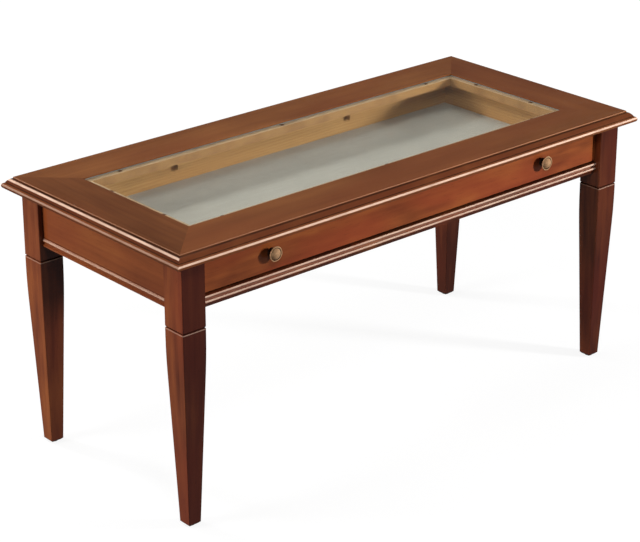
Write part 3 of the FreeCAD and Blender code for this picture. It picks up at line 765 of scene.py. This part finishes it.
BRASS = AgedMetal(display(216, 170, 126), display(132, 92, 62), roughness=0.34, tarnish=0.4, metal=0.4)
# dark patina, deepened to paint the shade under the knob's rim, in its ring groove and on the rose
PATINA_AND_SHADE = AgedMetal(display(74, 50, 34), display(40, 26, 18), roughness=0.5, tarnish=0.6, metal=0.5)
ZINC = AgedMetal(display(206, 206, 200), display(120, 118, 110), roughness=0.35, grains=400.0, tarnish=0.4)


# Modelling


def select_only(piece: bpy.types.Object) -> None:
    """Selects one object and makes it the active one.

    Args:
        piece: The object.
    """
    bpy.ops.object.select_all(action="DESELECT")
    piece.select_set(True)
    bpy.context.view_layer.objects.active = piece


@contextmanager
def editing(piece: bpy.types.Object) -> Iterator[None]:
    """Holds a piece in edit mode while its shape is worked on.

    Args:
        piece: The piece.

    Returns:
        A context in which the piece is in edit mode.
    """
    select_only(piece)
    bpy.ops.object.mode_set(mode="EDIT")
    try:
        yield
    finally:
        bpy.ops.object.mode_set(mode="OBJECT")


def add_mesh(name: str, add: Callable[..., Any], **options: Any) -> bpy.types.Object:
    """Adds one of Blender's mesh primitives.

    Args:
        name: The new piece's name.
        add: The operator that adds it.
        **options: What the operator is told.

    Returns:
        The piece, alone in the selection.
    """
    bpy.ops.object.select_all(action="DESELECT")
    add(**options)
    made = bpy.context.active_object
    made.name = name
    made.data.name = name
    return made


def hang(name: str, data: Any) -> bpy.types.Object:
    """Puts an object into the scene.

    Args:
        name: Its name.
        data: Its lamp, camera or mesh.

    Returns:
        The object.
    """
    made = bpy.data.objects.new(name, data)
    bpy.context.scene.collection.objects.link(made)
    return made


def bevel_edges(piece: bpy.types.Object, offset: float, segments: int) -> None:
    """Bevels every edge of a piece.

    Args:
        piece: The piece.
        offset: How far the bevel cuts into each face.
        segments: Faces across the bevel.
    """
    with editing(piece):
        bpy.ops.mesh.select_all(action="SELECT")
        bpy.ops.mesh.bevel(offset=offset, segments=segments, affect="EDGES")


def dress_faces(piece: bpy.types.Object, material: bpy.types.Material, wanted: FaceTest) -> None:
    """Gives some faces of a dressed piece a second material.

    Args:
        piece: The piece.
        material: The second material.
        wanted: The test that says which faces get it.
    """
    piece.data.materials.append(material)
    with editing(piece):
        bpy.ops.mesh.select_mode(type="FACE")
        bpy.ops.mesh.select_all(action="DESELECT")
        mesh = bmesh.from_edit_mesh(piece.data)
        for face in filter(wanted, mesh.faces):
            face.select_set(True)
        mesh.select_flush_mode()
        bmesh.update_edit_mesh(piece.data)
        piece.active_material_index = len(piece.data.materials) - 1
        bpy.ops.object.material_slot_assign()


def close_up(piece: bpy.types.Object, smooth_below: float = 35.0) -> bpy.types.Object:
    """Puts a piece's place into its mesh, turns its faces outward and smooths it.

    Args:
        piece: The modelled piece.
        smooth_below: Angle in degrees under which neighbouring faces shade as one.

    Returns:
        The piece.
    """
    select_only(piece)
    bpy.ops.object.transform_apply(location=True, rotation=True, scale=True)
    with editing(piece):
        bpy.ops.mesh.select_all(action="SELECT")
        bpy.ops.mesh.remove_doubles(threshold=WELD)
        bpy.ops.mesh.normals_make_consistent(inside=False)
    select_only(piece)
    bpy.ops.object.shade_smooth_by_angle(angle=math.radians(smooth_below))
    return piece


class Outline:
    """A half outline of a turned piece, drawn from its foot on the axis and then spun about that axis.

    A point is a radius and a height. Heights grow from the centre of the foot along the axis.
    """

    def __init__(self, name: str, centre: Vector, axis: Vector) -> None:
        """Starts the outline at the centre of the foot.

        Args:
            name: The piece's name.
            centre: The centre of its foot.
            axis: The unit vector along which heights grow.
        """
        self.centre = centre
        self.axis = axis
        self.out = axis.orthogonal().normalized()
        self.last = (0.0, 0.0)
        self.piece = add_mesh(name, bpy.ops.mesh.primitive_plane_add, location=ORIGIN)
        bpy.ops.object.mode_set(mode="EDIT")
        bpy.ops.mesh.select_mode(type="VERT")
        bpy.ops.mesh.merge(type="CENTER")
        bpy.ops.transform.translate(value=centre)

    def _point(self, place: Span) -> Vector:
        """Where a radius and a height lie in space."""
        radius, height = place
        return self.centre + self.out * radius + self.axis * height

    def line(self, *places: Span) -> None:
        """Draws straight on through the given points.

        Args:
            *places: The points.
        """
        for place in places:
            move = self._point(place) - self._point(self.last)
            bpy.ops.mesh.extrude_vertices_move(TRANSFORM_OT_translate={"value": move})
            self.last = place

    def arc(self, centre: Span, degrees: float, steps: int) -> None:
        """Draws an arc on from the last point.

        Args:
            centre: The arc's centre.
            degrees: How far it turns, positive from the radius towards the axis.
            steps: Straight pieces in it.
        """
        normal = self.out.cross(self.axis)
        turn = math.radians(degrees)
        bpy.ops.mesh.spin(steps=steps, angle=-turn, center=self._point(centre), axis=normal)
        radius = self.last[0] - centre[0]
        height = self.last[1] - centre[1]
        self.last = (
            centre[0] + radius * math.cos(turn) - height * math.sin(turn),
            centre[1] + radius * math.sin(turn) + height * math.cos(turn),
        )

    def spin(self, steps: int) -> bpy.types.Object:
        """Turns the outline right round.

        Args:
            steps: Faces round the piece.

        Returns:
            The closed, smoothed piece.
        """
        bpy.ops.mesh.select_all(action="SELECT")
        bpy.ops.mesh.spin(steps=steps, angle=2 * math.pi, center=self.centre, axis=self.axis)
        bpy.ops.mesh.select_all(action="SELECT")
        bpy.ops.mesh.remove_doubles(threshold=2 * WELD)
        bpy.ops.object.mode_set(mode="OBJECT")
        return close_up(self.piece)


def block(name: str, low: Vector, high: Vector) -> bpy.types.Object:
    """A plain block between two corners, to be worked on.

    Args:
        name: Its name.
        low: Its lowest corner.
        high: Its highest corner.

    Returns:
        The block, with its place in its mesh.
    """
    add = bpy.ops.mesh.primitive_cube_add
    made = add_mesh(name, add, size=1.0, location=(low + high) / 2, scale=high - low)
    bpy.ops.object.transform_apply(location=True, rotation=True, scale=True)
    return made


def seat(node: str, axis: Vector) -> tuple[Vector, float, float]:
    """Finds where a turned node stands.

    Args:
        node: The node.
        axis: The way it points from its foot.

    Returns:
        The centre of its foot, its radius and its length.
    """
    low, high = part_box(node)
    half = (high - low) / 2
    reach = abs(half.dot(axis))
    return (low + high) / 2 - axis * reach, half.x, 2 * reach


def solid_boxes(node: str) -> list[tuple[Vector, Vector]]:
    """The box of each separate solid of a node, in a fixed order.

    Args:
        node: The node.

    Returns:
        The lowest and the highest corner of each.
    """
    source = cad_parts[node]
    mesh = bmesh.new()
    mesh.from_mesh(source.data)
    mesh.transform(source.matrix_world)
    bmesh.ops.remove_doubles(mesh, verts=mesh.verts, dist=WELD)
    boxes = []
    for seed in mesh.verts:
        if seed.tag:
            continue
        seed.tag = True
        waiting, found = [seed], []
        while waiting:
            vertex = waiting.pop()
            found.append(vertex.co.copy())
            for edge in vertex.link_edges:
                other = edge.other_vert(vertex)
                if not other.tag:
                    other.tag = True
                    waiting.append(other)
        low = Vector(min(place[axis] for place in found) for axis in range(3))
        high = Vector(max(place[axis] for place in found) for axis in range(3))
        boxes.append((low, high))
    mesh.free()
    return sorted(boxes, key=lambda box: tuple(round(value, 5) for value in box[0]))


def repeat(first: bpy.types.Object, node: str) -> bpy.types.Object:
    """Copies a piece that starts at the origin's corner to the place of each solid of a node.

    Args:
        first: The modelled piece, whose lowest corner is the origin.
        node: The node whose solids give the places.

    Returns:
        All the copies as one piece.
    """
    places = [low for low, _ in solid_boxes(node)]
    copies = [hang(first.name, first.data.copy()) for _ in places[1:]]
    for piece, place in zip([first, *copies], places):
        piece.location = place
    select_only(first)
    for copy in copies:
        copy.select_set(True)
    bpy.ops.object.join()
    return close_up(first)


def set_down(piece: bpy.types.Object, body: str, node: str) -> None:
    """Hands a modelled piece to the body it rides on.

    Args:
        piece: The piece.
        body: The body that carries it.
        node: The node that it stands for.
    """
    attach(piece, body)
    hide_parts(node)
    log.info("modelled %s for %s, %d faces", piece.name, node, len(piece.data.polygons))


def dress(piece: bpy.types.Object, material: bpy.types.Material) -> None:
    """Gives a piece or a node its material.

    Args:
        piece: The piece.
        material: The material.
    """
    if not piece.material_slots:
        piece.data.materials.append(material)
    for entry in piece.material_slots:
        entry.material = material


def dress_node(node: str, material: bpy.types.Material) -> None:
    """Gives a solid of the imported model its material."""
    dress(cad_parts[node], material)
    log.info("dressed %s in %s", node, material.name)


def dress_board(node: str, wood: Wood, grain: Grain, board: int, **marks: Any) -> None:
    """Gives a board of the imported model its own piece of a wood.

    Args:
        node: The board's node.
        wood: The wood.
        grain: The way its grain runs.
        board: The board's number.
        **marks: Its tone, its dark faces and its bands.
    """
    dress_node(node, wood.material(f"{node}_wood", grain, board, **marks))


# Sub-assemblies


@dataclass(frozen=True)
class RailLook:
    """How dark one rail of the top is, and how strong the painted highlights on its nose, shoulder and arris
    are.
    """

    side: str
    grain: Grain
    tone: float
    nose: float
    shoulder: float
    arris: float


# The painted highlights differ from rail to rail with how the light falls on each side.
RAIL_LOOKS = (
    RailLook("front", Grain.ALONG_X, 0.05, 0.85, 0.0, 0.5),
    RailLook("back", Grain.ALONG_X, 0.15, 0.5, 0.3, 0.2),
    RailLook("left", Grain.ALONG_Y, -0.2, 0.3, 0.75, 0.5),
    RailLook("right", Grain.ALONG_Y, 0.0, 0.85, 0.3, 0.2),
)


@dataclass
class TopFrame:
    """The moulded frame of the top, its four rails mitred together over loose tongues."""

    quirk: Span = (0.5060, 0.5074)
    fillet: Span = (0.4984, 0.4999)
    ovolo: Span = (0.4999, 0.5060)
    nose: Span = (0.4938, 0.4968)
    bead: Span = (0.4880, 0.4984)
    shoulder: Span = (0.5034, 0.5058)
    arris: Span = (0.5084, 0.5096)
    inner_edge: Span = (0.4840, 0.5030)
    ledge_lip: Span = (0.5008, 0.5024)
    outer_border: Span = (0.5200, 0.2200)
    inner_border: Span = (0.4475, 0.1475)

    def build(self) -> None:
        """Dresses the four rails and the tongues."""
        for board, look in enumerate(RAIL_LOOKS, start=1):
            marks = {"tone": look.tone, "bands": self._bands(look)}
            dress_board(f"top_rail_{look.side}", TOP_WOOD, look.grain, board, **marks)
        dress_board("mitre_splines", SOFTWOOD, Grain.ALONG_Y, 5)

    def _bands(self, look: RailLook) -> list[Band]:
        """The painted shade, painted highlights and other tones of one rail, outside first.

        Args:
            look: The rail's look.

        Returns:
            The bands.
        """
        outer = (
            # painted shade darkening the ovolo, where it reflects no lamp
            Band((self.ovolo,), 0.6, display(80, 34, 22)),
            # painted highlight on the shoulder of the ovolo
            painted_highlight_band(self.shoulder, share=look.shoulder, bare=0.85),
            # painted highlight on the top arris
            Band((self.arris,), look.arris, display(196, 146, 116), bare=0.5),
            Band((self.bead,), 0.35, display(118, 60, 34), bare=0.6),
            # painted highlight along the nose bead
            painted_highlight_band(self.nose, share=look.nose, bare=0.5),
            # painted shade in the quirk and the fillet
            painted_shade_band(self.quirk, self.fillet),
        )
        inner = (
            Band((self.inner_edge,), 0.9, display(190, 144, 92)),
            # painted highlight on the lip of the glass ledge
            Band((self.ledge_lip,), 0.5, display(236, 206, 170)),
        )
        bands = [replace(band, border=self.outer_border) for band in outer]
        return bands + [replace(band, border=self.inner_border, within=True) for band in inner]


@dataclass
class Glazing:
    """The glass let into the top, and the pads that it lies on."""

    arris: float = 0.0010
    pad_rounding: float = 0.0003
    smooth_below: float = 20.0
    level: float = 0.99

    def build(self) -> None:
        """Models the pane, whose every edge is ground off, and a soft pad in each place."""
        pane = block("glass_pane", *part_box("glass_panel"))
        bevel_edges(pane, self.arris, 1)
        close_up(pane, self.smooth_below)
        dress(pane, ClearGlass().material("clear_glass"))
        ground = GroundEdge().material("ground_edge")
        dress_faces(pane, ground, lambda face: abs(face.normal.z) < self.level)
        set_down(pane, "table", "glass_panel")
        low, high = solid_boxes("glass_pads")[0]
        pad = block("soft_pads", low - low, high - low)
        bevel_edges(pad, self.pad_rounding, 2)
        dress(pad, SoftPad().material("pad_plastic"))
        set_down(repeat(pad, "glass_pads"), "table", "glass_pads")


@dataclass
class Carcase:
    """The legs, aprons and rails, and the bare wood inside that carries the drawer."""

    leg_middle: Span = (0.501, 0.201)
    leg_groove: Span = (0.3628, 0.3652)
    leg_edge: Span = (0.3606, 0.3622)
    leg_tip: Span = (-0.001, 0.0062)
    apron_crest: Span = (0.4038, 0.4066)
    apron_quirk: Span = (0.4000, 0.4016)
    apron_top: Span = (0.4080, 0.4092)
    rail_lip: Span = (0.4134, 0.4148)
    rail_crests: tuple[Span, ...] = ((0.4100, 0.4132), (0.4006, 0.4036))
    rail_flat: Span = (0.4036, 0.4100)
    rail_foot: Span = (0.3928, 0.3990)

    def build(self) -> None:
        """Dresses each board in its own piece of wood."""
        across, deep = self.leg_middle
        ends = (
            ("front_left", -across, -deep, 0.95, 0.0),
            ("front_right", across, -deep, 0.76, -0.15),
            ("back_left", -across, deep, 0.74, 0.05),
            ("back_right", across, deep, 0.6, -0.6),
        )
        bands = (
            # painted shade in the leg's groove and at the foot where it meets the floor
            painted_shade_band(self.leg_groove, share=0.8),
            painted_shade_band(self.leg_tip, share=0.6),
            # painted highlight along the groove's upper edge
            painted_highlight_band(self.leg_edge, share=0.35),
        )
        for board, (end, middle_x, middle_y, share, tone) in enumerate(ends, start=6):
            marks = {"tone": tone, "dark": DarkFace((middle_x, middle_y), share), "bands": bands}
            dress_board(f"leg_{end}", LEG_WOOD, Grain.ALONG_Z, board, **marks)
        # painted shade in the apron's quirk and under the top, painted highlight on its bead
        bands = (painted_shade_band(self.apron_quirk, self.apron_top), painted_highlight_band(self.apron_crest))
        for board, side in enumerate(SIDES, start=11):
            dress_board(f"apron_{side}", APRON_WOOD, Grain.ALONG_Y, board, bands=bands)
        dress_board("apron_back", APRON_WOOD, Grain.ALONG_X, 13, bands=bands)
        # painted highlights on the rail's two beads, painted shade at its lip under the drawer gap and at
        # its foot
        rail_highlight = painted_highlight_band(*self.rail_crests, share=0.85, colour=display(226, 196, 174), bare=0.6)
        flat = Band((self.rail_flat,), 0.5, display(132, 104, 90))
        bands = (flat, painted_shade_band(self.rail_lip, self.rail_foot), rail_highlight)
        dress_board("front_rail", FRAME_WOOD, Grain.ALONG_X, 14, tone=0.05, bands=bands)
        self._inner_wood()

    def _inner_wood(self) -> None:
        """Dresses the unfinished wood that nobody sees from outside."""
        across = SOFTWOOD.material("inner_wood_long", Grain.ALONG_X, 15)
        deep = SOFTWOOD.material("inner_wood_deep", Grain.ALONG_Y, 16)
        for node in ("upper_front_rail", "back_batten", "drawer_stop_left", "drawer_stop_right"):
            dress_node(node, across)
        for node in (f"drawer_{part}_{side}" for part in ("runner", "guide", "kicker") for side in SIDES):
            dress_node(node, deep)


@dataclass
class Drawer:
    """The drawer that is the display compartment, with its lined floor."""

    front_foot: Span = (0.4170, 0.4184)

    def build(self) -> None:
        """Dresses the front, the box and the lining."""
        # painted shade along the foot of the drawer front, over the gap
        bands = (painted_shade_band(self.front_foot),)
        dress_board("drawer_front", FRAME_WOOD, Grain.ALONG_X, 17, bands=bands)
        for board, side in enumerate(SIDES, start=18):
            dress_board(f"drawer_side_{side}", DRAWER_WOOD, Grain.ALONG_Y, board)
        dress_board("drawer_back", DRAWER_WOOD, Grain.ALONG_X, 20)
        dress_board("drawer_bottom", SOFTWOOD, Grain.ALONG_X, 21)
        dress_board("drawer_bottom_brace", SOFTWOOD, Grain.ALONG_Y, 22)
        catch = DRAWER_WOOD.material("catch_wood", Grain.ALONG_X, 23)
        for side in SIDES:
            dress_node(f"drawer_catch_{side}", catch)
        dress_node("display_lining", LiningCloth().material("lining_cloth"))


@dataclass
class Knobs:
    """The two turned brass knobs, each on a small rose. Heights start at the foot of the piece."""

    neck: float = 0.0044
    neck_height: float = 0.0032
    rim: float = 0.01345
    rim_low: float = 0.0098
    rim_rounding: float = 0.0010
    ring_outside: float = 0.0113
    ring_floor: float = 0.0110
    ring_width: float = 0.0006
    ring_slope: float = 0.0006
    dome: float = 0.0100
    rose_lip: float = 0.0009
    rose_slope: float = 0.0016
    facets: int = 56

    def build(self) -> None:
        """Turns one knob and one rose for each side."""
        brass = BRASS.material("antique_brass")
        patina = PATINA_AND_SHADE.material("patina_and_painted_shade")
        for side in SIDES:
            self._knob(side, brass, patina)
            self._rose(side, patina)

    def _knob(self, side: str, brass: bpy.types.Material, patina: bpy.types.Material) -> None:
        """Turns a neck that flares into a round-edged rim, with a dome that rises from a ring groove.

        Args:
            side: The knob's side of the drawer.
            brass: The finish of its polished faces.
            patina: The dark patina of the others, which also paints the shade under the rim and in the ring
                groove.
        """
        centre, _, length = seat(f"knob_{side}", OUT_OF_DRAWER)
        outline = Outline(f"turned_knob_{side}", centre, OUT_OF_DRAWER)
        outline.line((self.neck, 0.0), (self.neck, self.neck_height))
        outline.arc((self.neck * 2, self.neck_height), -90, 6)
        edge = self.rim - self.rim_rounding
        outline.line((edge, self.rim_low))
        outline.arc((edge, self.rim_low + self.rim_rounding), 180, 8)
        outline.line((self.ring_outside, self.rim_low + 2 * self.rim_rounding))
        outline.line((self.dome + self.ring_width, self.ring_floor), (self.dome, self.ring_floor))
        rise = length - self.ring_floor
        radius = (self.dome**2 + rise**2) / (2 * rise)
        outline.arc((0.0, length - radius), math.degrees(math.asin(self.dome / radius)), 12)
        knob = outline.spin(self.facets)
        dress(knob, brass)
        dress_faces(knob, patina, lambda face: self._in_patina_and_shade(face.calc_center_median() - centre))
        set_down(knob, "drawer", f"knob_{side}")

    def _in_patina_and_shade(self, place: Vector) -> bool:
        """Whether a place, counted from the foot, lies behind the rim or in the ring groove.

        Args:
            place: The place.

        Returns:
            True where the dark patina and its painted shade go.
        """
        height = place.dot(OUT_OF_DRAWER)
        in_ring = self.dome < math.hypot(place.x, place.z) < self.ring_outside
        return height < self.rim_low or (in_ring and height < self.ring_floor + self.ring_slope)

    def _rose(self, side: str, patina: bpy.types.Material) -> None:
        """Turns a small round plate with a rolled rim and a flat middle.

        Args:
            side: The rose's side of the drawer.
            patina: Its finish, a dark patina that also paints the shade on the rose.
        """
        centre, rim, height = seat(f"knob_rose_{side}", OUT_OF_DRAWER)
        edge = rim - self.rose_lip
        rise = height - self.rose_lip
        outline = Outline(f"turned_rose_{side}", centre, OUT_OF_DRAWER)
        outline.line((rim, 0.0), (rim, rise))
        outline.arc((edge, rise), 150, 8)
        outline.line((edge - self.rose_slope, rise), (0.0, rise))
        rose = outline.spin(self.facets)
        dress(rose, patina)
        set_down(rose, "drawer", f"knob_rose_{side}")


@dataclass
class Fixings:
    """The screws: flat round heads with a cross recess, over plain pointed shanks."""

    rounding: float = 0.0005
    recess_share: float = 0.6
    recess_bar: float = 0.2
    recess_depth: float = 0.0011
    point: float = 0.003
    top_head: float = 0.0024
    top_shank: float = 0.002
    panel_head: float = 0.0018
    panel_shank: float = 0.0015
    facets: int = 32

    def build(self) -> None:
        """Models the screws that can be seen from below and dresses the others."""
        material = ZINC.material("zinc_plate")
        self._screws("top_fixing_screws", "table", self.top_head, self.top_shank, material)
        self._screws("drawer_bottom_screws", "drawer", self.panel_head, self.panel_shank, material)
        dress_node("knob_screws", material)

    def _screws(
        self, node: str, body: str, head: float, shank: float, material: bpy.types.Material
    ) -> None:
        """Turns one screw, cuts its recess and copies it to each place.

        Args:
            node: The node that it stands for.
            body: The body that carries the screws.
            head: Height of the head.
            shank: Radius of the shank.
            material: The finish.
        """
        low, high = solid_boxes(node)[0]
        rim = (high.x - low.x) / 2
        length = high.z - low.z
        centre = Vector((rim, rim, 0.0))
        outline = Outline(f"turned_{node}", centre, UP)
        outline.line((rim - self.rounding, 0.0))
        outline.arc((rim - self.rounding, self.rounding), 90, 4)
        outline.line((rim, head), (shank, head), (shank, length - self.point), (0.0, length))
        screw = outline.spin(self.facets)
        long, short = 2 * rim * self.recess_share, 2 * rim * self.recess_bar
        for across, deep in ((long, short), (short, long)):
            half = Vector((across / 2, deep / 2, self.recess_depth))
            self._cut(screw, block("recess_cutter", centre - half, centre + half))
        dress(screw, material)
        set_down(repeat(screw, node), body, node)

    @staticmethod
    def _cut(piece: bpy.types.Object, cutter: bpy.types.Object) -> None:
        """Takes one solid out of another.

        Args:
            piece: The solid that is cut.
            cutter: The solid that goes.
        """
        select_only(piece)
        cut = piece.modifiers.new("recess", "BOOLEAN")
        cut.operation = "DIFFERENCE"
        cut.solver = "EXACT"
        cut.object = cutter
        bpy.ops.object.modifier_apply(modifier=cut.name)
        bpy.data.objects.remove(cutter)


@dataclass
class Feet:
    """The nail-on glides under the legs."""

    rounding: float = 0.0008
    facets: int = 40

    def build(self) -> None:
        """Turns the four glides, each with a rounded lower edge."""
        plastic = MouldedPlastic().material("glide_plastic")
        for end in ENDS:
            centre, rim, height = seat(f"foot_glide_{end}", UP)
            outline = Outline(f"turned_glide_{end}", centre, UP)
            outline.line((rim - self.rounding, 0.0))
            outline.arc((rim - self.rounding, self.rounding), 90, 5)
            outline.line((rim, height), (0.0, height))
            glide = outline.spin(self.facets)
            dress(glide, plastic)
            set_down(glide, "table", f"foot_glide_{end}")


# Studio


@dataclass(frozen=True)
class SoftBox:
    """A lamp that looks at a point. Its level is how bright a white card there would look.

    A lamp without gloss leaves no glare on the lacquer and the glass.
    """

    name: str
    target: Point
    bearing: Point
    reach: float
    width: float
    height: float
    level: float
    gloss: bool = False

    def build(self) -> None:
        """Hangs the lamp."""
        data = bpy.data.lights.new(self.name, "AREA")
        data.shape = "RECTANGLE"
        data.size = self.width
        data.size_y = self.height
        data.energy = self.level * (math.pi * self.reach) ** 2
        lamp = hang(self.name, data)
        lamp.visible_glossy = self.gloss
        lamp.visible_transmission = self.gloss
        bearing = Vector(self.bearing).normalized()
        lamp.location = Vector(self.target) + bearing * self.reach
        lamp.rotation_euler = bearing.to_track_quat("Z", "Y").to_euler()


@dataclass
class Studio:
    """The pale floor, the lamps, the world and the camera."""

    focal_pixels: float = 2055.0
    eye: Point = (-2.3451, -2.6124, 1.7536)
    heading: float = 41.519
    pitch: float = 21.428
    floor_half: float = 20.0
    floor_tone: float = 0.15
    floor_lift: float = 0.86
    floor_gloss: float = 0.14
    floor_fade: Span = (0.9, 3.2)
    world_level: float = 0.09
    world_gloss: float = 0.035
    horizon: Span = (0.08, 0.2)
    bounced: Span = (0.2, 0.8)
    lens_shift: float = 60.0
    sight: float = 60.0

    def build(self) -> None:
        """Sets up the whole studio."""
        self._floor()
        self._world()
        self._camera()
        for lamp in self._lamps():
            lamp.build()

    def _lamps(self) -> Sequence[SoftBox]:
        """The lamps: a low key, three from behind and the left, one overhead and a fill for the inside.

        Returns:
            The lamps.
        """
        return (
            SoftBox("front_key", (0.0, -0.2, 0.42), (0.66, -0.71, 0.222), 3.0, 0.3, 0.3, 1.08),
            SoftBox("back_rim", (-0.3, 0.0, 0.5), (-0.25, 0.74, 0.55), 3.0, 0.34, 0.34, 0.36),
            SoftBox("side_strip", (-0.5, 0.0, 0.5), (-0.19, 0.70, 0.62), 3.0, 1.8, 0.25, 0.26),
            SoftBox("left_box", (-0.3, 0.0, 0.35), (-0.88, 0.33, 0.33), 2.8, 1.2, 1.2, 0.7),
            SoftBox("overhead_box", (0.1, 0.0, 0.5), (0.05, -0.1, 1.0), 2.4, 1.2, 1.2, 0.25, gloss=True),
            SoftBox("inside_fill", (0.3, 0.1, 0.43), (-0.5, -0.62, 0.6), 2.6, 0.5, 0.5, 0.22),
        )

    def _sight(self, graph: Graph) -> tuple[Signal, Signal]:
        """Finds the rays that look at the surround: the eye's, also through glass, and those of a gloss.

        Args:
            graph: The graph of what is looked at.

        Returns:
            The masks of the seeing rays and of the glossy ones.
        """
        path = graph.node("ShaderNodeLightPath")
        outputs = {socket.name: Signal(graph, socket) for socket in path.socket.node.outputs}
        bounced = (outputs["Diffuse Depth"] + outputs["Glossy Depth"]).step(*self.bounced)
        refracted = outputs["Is Transmission Ray"]
        seen = outputs["Is Camera Ray"].larger(refracted * (1 - bounced))
        return seen, outputs["Is Glossy Ray"] * (1 - refracted)

    def _floor(self) -> None:
        """A pale floor that looks white, dim in the lacquer's gloss, and keeps the table's shadow."""
        add = bpy.ops.mesh.primitive_plane_add
        floor = add_mesh("floor", add, size=2 * self.floor_half, location=ORIGIN)
        material, graph = new_material("pale_floor")
        seen, glossy = self._sight(graph)
        x, y, _ = graph.axes(graph.place())
        away = ((x * x + y * y) ** 0.5).step(*self.floor_fade)
        lift = seen * (self.floor_lift + away * (1.0 - self.floor_lift)) + glossy * self.floor_gloss
        tone = (self.floor_tone, self.floor_tone, self.floor_tone, 1.0)
        pale = graph.node("ShaderNodeBsdfDiffuse", None, {"Color": tone})
        glow = graph.node("ShaderNodeEmission", None, {"Color": WHITE, "Strength": lift})
        both = graph.node("ShaderNodeAddShader", None, {0: pale, 1: glow})
        dim = graph.node("ShaderNodeEmission", None, {"Color": WHITE, "Strength": self.floor_gloss})
        graph.output(graph.node("ShaderNodeMixShader", None, {0: glossy, 1: both, 2: dim}))
        dress(floor, material)

    def _world(self) -> None:
        """A white surround to the eye and near the horizon, and a dim one as a source of light."""
        world = bpy.data.worlds.new("studio_world")
        bpy.context.scene.world = world
        graph = Graph(world)
        direct, glossy = self._sight(graph)
        direction = graph.node("ShaderNodeTexCoord", output="Generated")
        _, _, height = graph.axes(direction)
        sweep = height.step(*self.horizon, 1.0, self.world_gloss)
        strength = direct + (1 - direct) * (glossy * sweep + (1 - glossy) * self.world_level)
        shader = graph.node("ShaderNodeBackground", None, {"Color": WHITE, "Strength": strength})
        graph.output(shader, "ShaderNodeOutputWorld")

    def _camera(self) -> None:
        """A long lens that looks down on the near left corner."""
        data = bpy.data.cameras.new("camera")
        data.sensor_width = SENSOR_WIDTH
        data.lens = self.focal_pixels / PICTURE_WIDTH * SENSOR_WIDTH
        data.shift_y = -self.lens_shift / PICTURE_WIDTH
        data.clip_end = self.sight
        camera = hang("camera", data)
        camera.location = self.eye
        camera.rotation_euler = (math.radians(90 - self.pitch), 0.0, math.radians(-self.heading))
        bpy.context.scene.camera = camera


def main() -> None:
    """Builds the table's looks and the studio round it."""
    logging.basicConfig(level=logging.INFO, format="%(name)s: %(message)s")
    bpy.context.scene.view_settings.view_transform = "Standard"
    for assembly in (TopFrame(), Glazing(), Carcase(), Drawer(), Knobs(), Fixings(), Feet(), Studio()):
        assembly.build()
        log.info("%s done", type(assembly).__name__)


if __name__ == "__main__":
    main()
